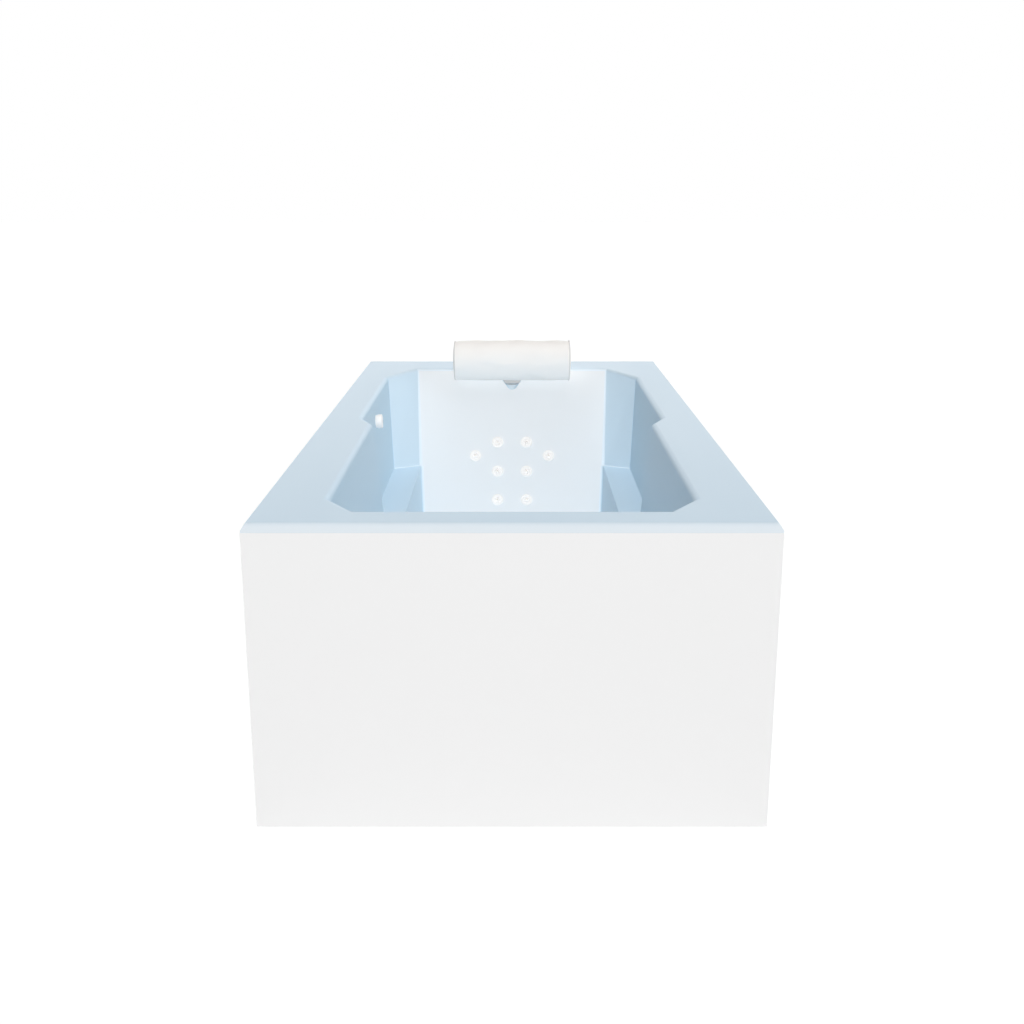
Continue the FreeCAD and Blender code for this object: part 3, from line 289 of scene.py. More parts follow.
@dataclass(frozen=True)
class GlossAcrylic(Finish):
    """Vacuum-formed acrylic sheet with a gentle ripple and polish marks, and painted light and shade: paler on
    faces turned toward the foot end and up, darker and bluer on faces turned to the sides.
    """

    # facing and tones paint light and shade: the colour is picked by the way a face points, lit faces paler,
    # side faces darker
    facing: Point = (0.0, -0.9, 0.436)
    tones: tuple[tuple[float, Colour], ...] = ()
    ripple: float = 0.00012

    def dress(self, shader: Shader) -> None:
        """Adds the acrylic's nodes."""
        cloud = shader.noise(2.2, 2.0)
        fine = shader.noise(48.0, 3.0)
        wipe = shader.noise(9.0, 4.0, 0.6, shader.place((1.0, 0.18, 1.0)))
        # Painted light and shade: the surface direction against facing picks the base colour from the tones
        lean = shader.node("ShaderNodeVectorMath", {"operation": "DOT_PRODUCT"},
                           {0: shader.node("ShaderNodeTexCoord", out="Normal"), 1: self.facing}, out="Value")
        sheet = shader.node("ShaderNodeValToRGB", {"stops": self.tones}, {0: lean})
        mottled = shader.node("ShaderNodeMix", {"data_type": "RGBA", "blend_type": "MULTIPLY"},
                              {0: cloud * 0.7 + fine * 0.3, 6: sheet, 7: self.shade}, out=2)
        shader.set(Base_Color=mottled,
                   Roughness=self.gloss(shader, wipe),
                   Coat_Weight=0.02, Coat_Roughness=0.15, Specular_IOR_Level=0.09,
                   Normal=shader.bump(shader.noise(26.0, 1.0), self.ripple))


@dataclass(frozen=True)
class CoatedPanel(Finish):
    """White moulded panel: satin face with a very fine stipple and faint handling marks."""

    def dress(self, shader: Shader) -> None:
        """Adds the panel's nodes."""
        cloud = shader.noise(1.6, 3.0)
        marks = shader.noise(14.0, 5.0, 0.65, shader.place((1.0, 1.0, 0.25)))
        shader.set(Base_Color=self.colour(shader, cloud),
                   Roughness=self.gloss(shader, marks),
                   Specular_IOR_Level=0.35,
                   Normal=shader.bump(shader.noise(700.0, 2.0), 0.00005))


@dataclass(frozen=True)
class SoftSkin(Finish):
    """Soft expanded vinyl: pebbled grain and a faint sheen."""

    def dress(self, shader: Shader) -> None:
        """Adds the skin's nodes."""
        cells = shader.node("ShaderNodeTexVoronoi", {"feature": "SMOOTH_F1"},
                            {"Vector": shader.place(), "Scale": 620.0, "Smoothness": 0.6})
        soil = shader.noise(11.0, 4.0, 0.6)
        shader.set(Base_Color=self.colour(shader, soil),
                   Roughness=self.gloss(shader, soil),
                   Sheen_Weight=0.12, Sheen_Roughness=0.5, Specular_IOR_Level=0.3,
                   Normal=shader.bump(1.0 - cells, 0.00022, 0.7))


@dataclass(frozen=True)
class LaidPlywood(Finish):
    """Plywood: long grain on the faces and dark glue lines on the edges."""

    plies: float = 9.0
    thickness: float = 0.018
    bottom: float = 0.067

    def dress(self, shader: Shader) -> None:
        """Adds the plywood's nodes."""
        lengthwise = shader.place((1.0, 0.06, 1.0))
        streaks = shader.noise(58.0, 6.0, 0.62, lengthwise)
        rings = shader.node("ShaderNodeTexWave", {"wave_type": "BANDS", "bands_direction": "X"},
                            {"Vector": shader.place((1.0, 0.05, 1.0)), "Scale": 7.0, "Distortion": 9.0,
                             "Detail": 3.0, "Detail Scale": 1.2}, out=1)
        wood = self.colour(shader, streaks * 0.6 + rings * 0.4)
        height = shader.node("ShaderNodeSeparateXYZ", None, {"Vector": shader.place()}, out=2)
        layer = (height - self.bottom) * (self.plies / self.thickness)
        glue = shader.math("FRACT", layer) > 0.86
        facing = shader.node("ShaderNodeSeparateXYZ", None,
                             {"Vector": shader.node("ShaderNodeTexCoord", out="Normal")}, out=2)
        edge = 1.0 - (shader.math("ABSOLUTE", facing) > 0.5)
        shader.set(Base_Color=shader.mix(glue * edge, wood, srgb(96, 62, 36)),
                   Roughness=self.gloss(shader, streaks),
                   Normal=shader.bump(streaks, 0.0004, 0.6))


@dataclass(frozen=True)
class ZincCoat(Finish):
    """Galvanised or plated steel: crystal spangle in the tone and the gloss."""

    spangle: float = 70.0

    def dress(self, shader: Shader) -> None:
        """Adds the zinc's nodes."""
        crystals = shader.node("ShaderNodeTexVoronoi", {"feature": "F1"},
                               {"Vector": shader.place(), "Scale": self.spangle, "Randomness": 1.0},
                               out="Color")
        tint = shader.node("ShaderNodeSeparateColor", None, {"Color": crystals})
        dulling = shader.noise(9.0, 4.0, 0.6)
        shader.set(Base_Color=self.colour(shader, tint * 0.6 + dulling * 0.4),
                   Metallic=1.0,
                   Roughness=self.gloss(shader, tint),
                   Normal=shader.bump(dulling, 0.0002, 0.5))


@dataclass(frozen=True)
class PolishedPlate(Finish):
    """Bright plate: near-mirror, with water marks in the gloss."""

    mottle: Point = (120.0, 4.0, 0.7)
    relief: Point = (120.0, 4.0, 0.7)
    relief_depth: float = 0.00002
    relief_strength: float = 0.5
    metallic: float = 1.0


@dataclass(frozen=True)
class CastMetal(Finish):
    """Die-cast metal: fine orange peel and rubbed high spots."""

    mottle: Point = (22.0, 5.0, 0.65)
    relief: Point = (420.0, 3.0, 0.5)
    relief_depth: float = 0.00015
    relief_strength: float = 0.6
    metallic: float = 0.85


@dataclass(frozen=True)
class ClearHose(Finish):
    """Clear flexible tube: see-through wall with a slight haze."""

    mottle: Point = (60.0, 3.0, 0.5)
    relief_depth: float = 0.0

    def dress(self, shader: Shader) -> None:
        """Adds the hose's nodes."""
        super().dress(shader)
        shader.set(Transmission_Weight=0.55, IOR=1.5)


# The tones by surface direction are painted light and shade: side walls darkest, deck and ledges mid, faces
# toward the foot end palest
ACRYLIC = GlossAcrylic("pale_blue_acrylic", (0.755, 0.800, 0.830), (0.985, 0.99, 0.995), 0.34, 0.04,
                       tones=((0.0, (0.465, 0.610, 0.710)), (0.38, (0.571, 0.725, 0.846)),
                              (0.62, (0.635, 0.757, 0.842)), (0.97, (0.790, 0.860, 0.915)),
                              (1.0, (0.800, 0.810, 0.815))))
PANEL = CoatedPanel("white_panel", srgb(243, 243, 243), srgb(240, 240, 241), 0.42, 0.05)
JET_WHITE = Finish("jet_white_plastic", srgb(249, 244, 240), srgb(244, 239, 235), 0.28, 0.04)
PILLOW_SKIN = SoftSkin("white_soft_vinyl", srgb(245, 242, 238), srgb(243, 239, 235), 0.55, 0.05)
TONGUE_GREY = SoftSkin("grey_soft_vinyl", srgb(198, 195, 193), srgb(192, 189, 187), 0.6, 0.05)
# The cord's darker grey is painted shade: it stands for the dark line of shade along each seam
SEAM_SHADE_CORD = SoftSkin("seam_shade_cord_vinyl", srgb(214, 212, 210), srgb(206, 204, 202), 0.6, 0.05)
WHITE_PVC = Finish("white_pvc", srgb(240, 241, 240), srgb(230, 232, 230), 0.32, 0.05)
RUBBER = Finish("black_rubber", srgb(38, 38, 40), srgb(48, 47, 47), 0.78, 0.08)
BLACK_PLASTIC = Finish("black_plastic", srgb(30, 31, 33), srgb(38, 39, 41), 0.45, 0.07)
IMPELLER_PLASTIC = Finish("impeller_plastic", srgb(58, 62, 66), srgb(70, 74, 78), 0.42, 0.07)
PLYWOOD = LaidPlywood("plywood", srgb(206, 172, 124), srgb(170, 130, 84), 0.62, 0.08)
GALVANISED = ZincCoat("galvanised_steel", srgb(196, 200, 204), srgb(158, 163, 168), 0.42, 0.09)
FOOT_STEEL = ZincCoat("plated_steel", srgb(205, 204, 198), srgb(176, 175, 170), 0.30, 0.06, spangle=160.0)
SHAFT_STEEL = PolishedPlate("ground_steel", srgb(196, 197, 200), srgb(182, 184, 188), 0.24, 0.05)
CHROME = PolishedPlate("chrome_plate", srgb(226, 228, 231), srgb(216, 219, 223), 0.09, 0.04)
MOTOR_ALUMINIUM = CastMetal("cast_aluminium", srgb(176, 179, 182), srgb(152, 156, 160), 0.44, 0.08)
CLEAR_HOSE = ClearHose("clear_grey_pvc", srgb(214, 220, 224), srgb(196, 204, 210), 0.16, 0.05)


# ---- mesh helpers
def arc(centre: float, radius: float, angles: Iterable[float]) -> list[Spot]:
    """Profile points on a circle about a point of the axis, by degrees from straight down."""
    turns = [math.radians(angle) for angle in angles]
    return [(radius * math.sin(turn), centre - radius * math.cos(turn)) for turn in turns]


def lathe(profile: Sequence[Spot], steps: int, closed: bool = False) -> BMesh:
    """Turns a profile about the Z axis.

    Args:
        profile: radius and height of each point; the ends lie on the axis unless it is closed.
        steps: how many segments go round.
        closed: whether the profile's last point joins its first.

    Returns:
        A closed mesh whose faces point outward.
    """
    bm = bmesh.new()
    verts = [bm.verts.new((radius, 0.0, height)) for radius, height in profile]
    edges = [bm.edges.new(pair) for pair in zip(verts, verts[1:])]
    if closed:
        edges.append(bm.edges.new((verts[-1], verts[0])))
    bmesh.ops.spin(bm, geom=verts + edges, cent=(0, 0, 0), axis=(0, 0, 1), dvec=(0, 0, 0),
                   angle=2 * math.pi, steps=steps, use_merge=True)
    bmesh.ops.remove_doubles(bm, verts=bm.verts, dist=1e-6)
    bmesh.ops.recalc_face_normals(bm, faces=bm.faces)
    return bm


def mesh_of(name: str, bm: BMesh) -> bpy.types.Mesh:
    """A named mesh from a BMesh, which is freed."""
    mesh = bpy.data.meshes.new(name)
    bm.to_mesh(mesh)
    bm.free()
    return mesh


def linked(name: str, data: bpy.types.ID) -> Piece:
    """A new object in the scene, at the origin."""
    made = bpy.data.objects.new(name, data)
    bpy.context.scene.collection.objects.link(made)
    return made


def finished(name: str, bm: BMesh, finish: Finish, smooth: float = 35.0,
             place: Optional[Matrix] = None) -> Piece:
    """Makes an object from a mesh.

    Args:
        name: the piece's name.
        bm: its mesh, which is freed.
        finish: its material.
        smooth: edges sharper than this many degrees stay sharp.
        place: where the mesh goes.

    Returns:
        The object, at the origin.
    """
    if place is not None:
        bm.transform(place)
    mesh = mesh_of(name, bm)
    mesh.shade_smooth()
    mesh.set_sharp_from_angle(angle=math.radians(smooth))
    mesh.materials.append(finish.material())
    return linked(name, mesh)


def clad(piece: Piece, finish: Finish) -> None:
    """Makes a finish the piece's only material."""
    piece.data.materials.clear()
    piece.data.materials.append(finish.material())


def modify(piece: Piece, kind: str, **settings: object) -> bpy.types.Modifier:
    """Adds a modifier of a kind, with its settings."""
    made = piece.modifiers.new(kind.lower(), kind)
    for key, setting in settings.items():
        setattr(made, key, setting)
    return made


def settle(piece: Piece) -> None:
    """Applies a piece's modifiers to its mesh."""
    graph = bpy.context.evaluated_depsgraph_get()
    mesh = bpy.data.meshes.new_from_object(piece.evaluated_get(graph), depsgraph=graph)
    piece.modifiers.clear()
    piece.data = mesh


def carve(piece: Piece, tool: BMesh, join: bool = False) -> None:
    """Cuts a mesh out of a piece, or joins it on, and applies the result.

    Args:
        piece: the piece to change.
        tool: closed mesh, which is freed.
        join: join instead of cut.
    """
    mesh = mesh_of("carving_tool", tool)
    other = linked("carving_tool", mesh)
    modify(piece, "BOOLEAN", operation="UNION" if join else "DIFFERENCE", solver="EXACT", object=other)
    settle(piece)
    bpy.data.objects.remove(other)
    bpy.data.meshes.remove(mesh)


def rod(radius: float, low: float, high: float, steps: int = 48) -> BMesh:
    """A closed cylinder along Z from one height to another."""
    bm = bmesh.new()
    bmesh.ops.create_cone(bm, cap_ends=True, segments=steps, radius1=radius, radius2=radius,
                          depth=high - low, matrix=Matrix.Translation((0, 0, (low + high) / 2)))
    return bm


def sliced(bm: BMesh, point: Sequence[float], normal: Sequence[float]) -> None:
    """Cuts off what lies past a plane, and closes the cut."""
    bmesh.ops.bisect_plane(bm, geom=bm.verts[:] + bm.edges[:] + bm.faces[:], dist=1e-7,
                           plane_co=point, plane_no=normal, clear_outer=True)
    bmesh.ops.holes_fill(bm, edges=[e for e in bm.edges if e.is_boundary])


def joined(parts: Iterable[BMesh]) -> BMesh:
    """Several meshes in one; the parts are freed."""
    whole = bmesh.new()
    for part in parts:
        mesh = mesh_of("part", part)
        whole.from_mesh(mesh)
        bpy.data.meshes.remove(mesh)
    return whole


def mounted(piece: Piece, body: str, slot: str, *nodes: str) -> Piece:
    """Puts a piece on its body and hides the frame's nodes it stands for.

    Args:
        piece: the piece, in place.
        body: the body it rides on.
        slot: the record's material slot; not used.
        nodes: the nodes it replaces.

    Returns:
        The piece.
    """
    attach(piece, body)
    if nodes:
        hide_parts(*nodes)
    log.info("piece %s on %s, for %s", piece.name, body, ", ".join(nodes) or "nothing else")
    return piece


def dress_node(node: str, finish: Finish, edge: float = 0.0) -> None:
    """Gives one of the frame's nodes its finish, and rounds its edges a little.

    Args:
        node: the node's name.
        finish: its material.
        edge: width of the rounding, or 0 for none.
    """
    piece = frame["nodes"][node]
    clad(piece, finish)
    if edge:
        modify(piece, "WELD", merge_threshold=0.00001)
        modify(piece, "BEVEL", width=edge, segments=2, limit_method="ANGLE", angle_limit=math.radians(38),
               harden_normals=True, use_clamp_overlap=True)
    log.info("node %s dressed as %s", node, finish.name)


# ---- the moulding's form
@dataclass(frozen=True)
class TubForm:
    """Sizes of the moulding and the places of the fittings on it."""

    length: float = 1.8288
    width: float = 0.8382
    deck: float = 0.508
    ledge: float = 0.254
    floor: float = 0.090
    wall: float = 0.005
    foot_deck: float = 0.110
    head_deck: float = 0.152
    arm_deck: float = 0.111
    shoulder_deck: float = 0.081
    recline: float = 26.3
    foot_lean: float = 6.0
    arm_draft: float = 1.4
    shoulder_draft: float = 2.35
    well_draft: float = 3.5
    well_half_width: float = 0.256
    foot_cut: Point = (0.054, 0.085, 0.060)
    head_cut: Point = (0.071, 0.154, 0.037)
    step_at_deck: Spot = (-0.057, 0.013)
    step_at_ledge: Spot = (0.075, 0.248)

    def foot_y(self, z: float) -> float:
        """Where the foot wall is at a height."""
        return self.foot_deck - self.length / 2 + (self.deck - z) * tan(self.foot_lean)

    def head_y(self, z: float) -> float:
        """Where the backrest is at a height."""
        return self.length / 2 - self.head_deck - (self.deck - z) * tan(self.recline)

    def arm_x(self, z: float) -> float:
        """Half width between the armrests' walls at a height."""
        return self.width / 2 - self.arm_deck - (self.deck - z) * tan(self.arm_draft)

    def shoulder_x(self, z: float) -> float:
        """Half width between the shoulder walls at a height."""
        return self.width / 2 - self.shoulder_deck - (self.deck - z) * tan(self.shoulder_draft)

    def well_x(self, z: float) -> float:
        """Half width of the well at a height."""
        return self.well_half_width - (self.ledge - z) * tan(self.well_draft)

    def opening(self, z: float) -> list[Spot]:
        """Right half of the basin's outline between ledge and deck, from foot to head."""
        share = (self.deck - z) / (self.deck - self.ledge)

        def mix(at_deck: float, at_ledge: float) -> float:
            """Between the deck's value and the ledge's."""
            return at_deck + (at_ledge - at_deck) * share

        arm, shoulder, foot, head = self.arm_x(z), self.shoulder_x(z), self.foot_y(z), self.head_y(z)
        arm_top, shoulder_top = self.arm_x(self.deck), self.shoulder_x(self.deck)
        return [
            (mix(arm_top - self.foot_cut[0], self.well_half_width), foot),
            (arm, foot + mix(self.foot_cut[1], self.foot_cut[2])),
            (arm, mix(self.step_at_deck[0], self.step_at_ledge[0])),
            (shoulder, mix(self.step_at_deck[1], self.step_at_ledge[1])),
            (shoulder, head - mix(self.head_cut[1], self.head_cut[2])),
            (mix(shoulder_top - self.head_cut[0], self.well_half_width), head),
        ]

    def on_backrest(self, x: float, z: float) -> Matrix:
        """Frame of a fitting on the backrest."""
        return on_wall((x, self.head_y(z), z), (0, 1), self.recline)

    def on_well_wall(self, y: float, z: float) -> Matrix:
        """Frame of a fitting on the well's right wall."""
        return on_wall((self.well_x(z), y, z), (1, 0), self.well_draft)

    def on_foot_wall(self, x: float, z: float) -> Matrix:
        """Frame of a fitting on the foot wall."""
        return on_wall((x, self.foot_y(z), z), (0, -1), self.foot_lean)

    def on_left_shoulder(self, y: float, z: float) -> Matrix:
        """Frame of a fitting on the left shoulder wall."""
        return on_wall((-self.shoulder_x(z), y, z), (-1, 0), self.shoulder_draft)


def both_sides(half: list[Spot]) -> list[Spot]:
    """A right-hand outline with its mirror image, as one closed outline."""
    return half + [(-x, y) for x, y in reversed(half)]


@dataclass(frozen=True)
class TubShell:
    """The moulding: deck, rim, basin, ledges and well, with its holes and the pillow's scoop."""

    form: TubForm = TubForm()
    rim_radius: float = 0.016
    corner_radius: float = 0.012
    mild_corner: float = 36.0
    ledge_radius: float = 0.004
    deck_edge: float = 0.002
    lip_depth: float = 0.006
    roll_start: float = 0.870
    roll_bright: float = 0.899
    roll_drop: float = 0.0024
    roll_angle: float = 50.0
    roll_haste: float = 0.6
    roll_side: float = 0.3
    roll_cuts: int = 9
    jets: tuple[Spot, ...] = ((0.0406, 0.314), (0.1024, 0.279), (0.0406, 0.239), (0.0406, 0.166))
    jet_hole: float = 0.0125
    suction: Spot = (0.150, 0.16655)
    suction_hole: float = 0.0263
    overflow_height: float = 0.400
    overflow_hole: float = 0.0183
    button: Spot = (0.265, 0.451)
    button_hole: float = 0.0113
    drain_y: float = -0.690
    drain_hole: float = 0.0238
    scoop_tip: float = 0.015
    scoop_turn: float = 55.0
    scoop_knee: Spot = (0.0262, 0.012)
    scoop_top: Spot = (0.040, 0.062)
    scoop_height: float = 0.4666

    def basin(self) -> BMesh:
        """The basin's inner faces with sharp edges, open at the deck.

        Returns:
            The mesh, with its top outline still an open edge.
        """
        form = self.form
        bm = bmesh.new()
        low = [bm.verts.new((x, y, form.ledge)) for x, y in both_sides(form.opening(form.ledge))]
        plate = bm.faces.new(low)
        walls = bmesh.ops.extrude_edge_only(bm, edges=plate.edges)["geom"]
        top = [v for v in walls if isinstance(v, BMVert)]
        below = {v: next(e.other_vert(v) for e in v.link_edges if e.other_vert(v) in low) for v in top}
        at_deck = both_sides(form.opening(form.deck))
        for vert in top:
            vert.co = (*at_deck[low.index(below[vert])], form.deck)
        for start, end in ((0, 5), (6, 11)):
            bmesh.ops.connect_verts(bm, verts=[low[start], low[end]])
        floors = [f for f in bm.faces if abs(f.normal.z) > 0.9 or f.calc_center_median().z < form.ledge + 1e-6]
        middle = min(floors, key=lambda f: abs(f.calc_center_median().x))
        well = bmesh.ops.extrude_face_region(bm, geom=[middle])["geom"]
        bmesh.ops.delete(bm, geom=[middle], context="FACES")
        for vert in (v for v in well if isinstance(v, BMVert)):
            y = form.foot_y(form.floor) if vert.co.y < 0 else form.head_y(form.floor)
            vert.co = (math.copysign(form.well_x(form.floor), vert.co.x), y, form.floor)
        flat = [e for e in bm.edges if len(e.link_faces) == 2
                and all(abs(v.co.z - form.ledge) < 1e-6 for v in e.verts)
                and abs(e.verts[0].co.y - e.verts[1].co.y) < 1e-6]
        bmesh.ops.dissolve_edges(bm, edges=flat, use_verts=False)
        return bm

    def skin(self) -> Piece:
        """The visible side of the moulding, rounded, before it has a thickness."""
        form = self.form
        bm = self.basin()
        top = {(round(v.co.x, 5), round(v.co.y, 5)): v for v in bm.verts if v.co.z > form.deck - 1e-6}
        rim = [top[(round(x, 5), round(y, 5))] for x, y in both_sides(form.opening(form.deck))]
        x, y = form.width / 2, form.length / 2
        corners = [bm.verts.new((sx * x, sy * y, form.deck)) for sx, sy in ((1, -1), (1, 1), (-1, 1), (-1, -1))]
        bm.faces.new([corners[0], corners[1], *reversed(rim[0:6])])
        bm.faces.new([corners[1], corners[2], rim[6], rim[5]])
        bm.faces.new([corners[2], corners[3], *reversed(rim[6:12])])
        bm.faces.new([corners[3], corners[0], rim[0], rim[11]])
        border = [e for e in bm.edges if e.is_boundary]
        lip = bmesh.ops.extrude_edge_only(bm, edges=border)["geom"]
        bmesh.ops.translate(bm, vec=(0, 0, -self.lip_depth),
                            verts=[v for v in lip if isinstance(v, BMVert)])
        bmesh.ops.recalc_face_normals(bm, faces=bm.faces)
        bm.normal_update()
        if max(bm.faces, key=lambda f: f.calc_center_median().z).normal.z < 0:
            bmesh.ops.reverse_faces(bm, faces=bm.faces)
        self.weigh(bm)
        piece = finished("tub_moulding", bm, ACRYLIC)
        modify(piece, "BEVEL", width=self.rim_radius, segments=5, limit_method="WEIGHT", use_clamp_overlap=True)
        settle(piece)
        return piece

    def weigh(self, bm: BMesh) -> None:
        """Gives each edge the bevel width that makes its radius right for its angle."""
        form = self.form
        weight = bm.edges.layers.float.new("bevel_weight_edge")
        for edge in bm.edges:
            if len(edge.link_faces) != 2:
                continue
            turn = edge.calc_face_angle()
            if turn < math.radians(2):
                continue
            middle = (edge.verts[0].co + edge.verts[1].co) / 2
            outside = abs(middle.x) > form.width / 2 - 0.001 or abs(middle.y) > form.length / 2 - 0.001
            on_rim = all(v.co.z > form.deck - 1e-6 for v in edge.verts)
            on_ledge = all(abs(v.co.z - form.ledge) < 1e-6 for v in edge.verts)
            if not (outside or on_rim or on_ledge) and turn < math.radians(self.mild_corner):
                continue
            radius = (self.deck_edge if outside else self.rim_radius if on_rim
                      else self.ledge_radius if on_ledge else self.corner_radius)
            edge[weight] = min(1.0, radius * math.tan(turn / 2) / self.rim_radius)

    def roll_front(self, piece: Piece) -> None:
        """Cuts the deck across near the foot end and lets it fall away to the lip."""
        bm = bmesh.new()
        bm.from_mesh(piece.data)
        end = self.form.length / 2
        for k in range(self.roll_cuts):
            y = -(self.roll_start + (end - 0.003 - self.roll_start) * k / (self.roll_cuts - 1))
            bmesh.ops.bisect_plane(bm, geom=bm.verts[:] + bm.edges[:] + bm.faces[:], dist=1e-6,
                                   plane_co=(0, y, 0), plane_no=(0, 1, 0))
        for vert in bm.verts:
            past = (-vert.co.y - self.roll_start) / (end - self.roll_start)
            if past > 0 and vert.co.z > self.form.deck - self.lip_depth / 2:
                vert.co.z -= self.roll_drop * past ** 2
        bm.to_mesh(piece.data)
        bm.free()

    def scoop(self, growth: float) -> BMesh:
        """The pillow's scoop: a flare up the backrest from a round tip, grown by a distance."""
        tip = arc(0.0, self.scoop_tip + growth, [self.scoop_turn * step / 6 for step in range(7)])
        (knee, knee_at), (top, top_at) = self.scoop_knee, self.scoop_top
        bm = lathe([*tip, (knee + growth, knee_at), (top + growth, top_at), (0.0, top_at)], 64)
        upright = Matrix.Rotation(math.radians(-90), 4, "X")
        bm.transform(self.form.on_backrest(0, self.scoop_height) @ upright)
        return bm

    def backing(self) -> BMesh:
        """The wall behind the scoop: the grown scoop, kept under the deck and behind the backrest."""
        bm = self.scoop(self.form.wall)
        place = self.form.on_backrest(0, self.scoop_height)
        normal = place.to_3x3() @ Vector((0, 0, 1))
        start = place.translation + normal * (self.form.wall / 2)
        for point, outer in ((start, -normal), ((0, 0, self.form.deck - self.lip_depth / 2), (0, 0, 1))):
            sliced(bm, point, outer)
        bmesh.ops.recalc_face_normals(bm, faces=bm.faces)
        return bm

    def drills(self) -> BMesh:
        """Every hole's cutter, in one mesh."""
        form = self.form
        places = [(form.on_backrest(side * x, z), self.jet_hole) for x, z in self.jets for side in (-1, 1)]
        places.append((form.on_well_wall(*self.suction), self.suction_hole))
        places.append((form.on_foot_wall(0, self.overflow_height), self.overflow_hole))
        places.append((form.on_left_shoulder(*self.button), self.button_hole))
        places.append((Matrix.Translation((0, self.drain_y, form.floor)), self.drain_hole))
        tools = []
        for place, radius in places:
            tool = rod(radius, -0.03, 0.03)
            tool.transform(place)
            tools.append(tool)
        return joined(tools)

    def shade_front(self, piece: Piece) -> None:
        """Leans the normals of the deck's front strip forward, as on a rolled edge."""
        mesh = piece.data
        normals = [corner.vector.copy() for corner in mesh.corner_normals]
        start, bright = self.roll_start, self.roll_bright
        for loop in mesh.loops:
            at = mesh.vertices[loop.vertex_index].co
            lean = min(1.0, max(0.0, (-at.y - start) / (bright - start)))
            outward = normals[loop.index].z > 0.1 or normals[loop.index].y < -0.5
            if lean > 0 and at.z > self.form.deck - self.lip_depth - 0.0005 and outward:
                angle = math.radians(self.roll_angle * lean ** self.roll_haste)
                leaning = Vector((normals[loop.index].x * self.roll_side, -math.sin(angle), math.cos(angle)))
                normals[loop.index] = leaning.normalized()
        mesh.normals_split_custom_set(normals)

    def build(self) -> None:
        """Makes the moulding and puts it on the tub."""
        piece = self.skin()
        self.roll_front(piece)
        modify(piece, "SOLIDIFY", thickness=self.form.wall, offset=-1.0, use_rim=True)
        settle(piece)
        carve(piece, self.backing(), join=True)
        carve(piece, self.scoop(0.0))
        carve(piece, self.drills())
        piece.data.shade_smooth()
        piece.data.set_sharp_from_angle(angle=math.radians(26))
        modify(piece, "WEIGHTED_NORMAL", keep_sharp=True)
        settle(piece)
        self.shade_front(piece)
        mounted(piece, Body.TUB.value, "acrylic", "tub_shell")


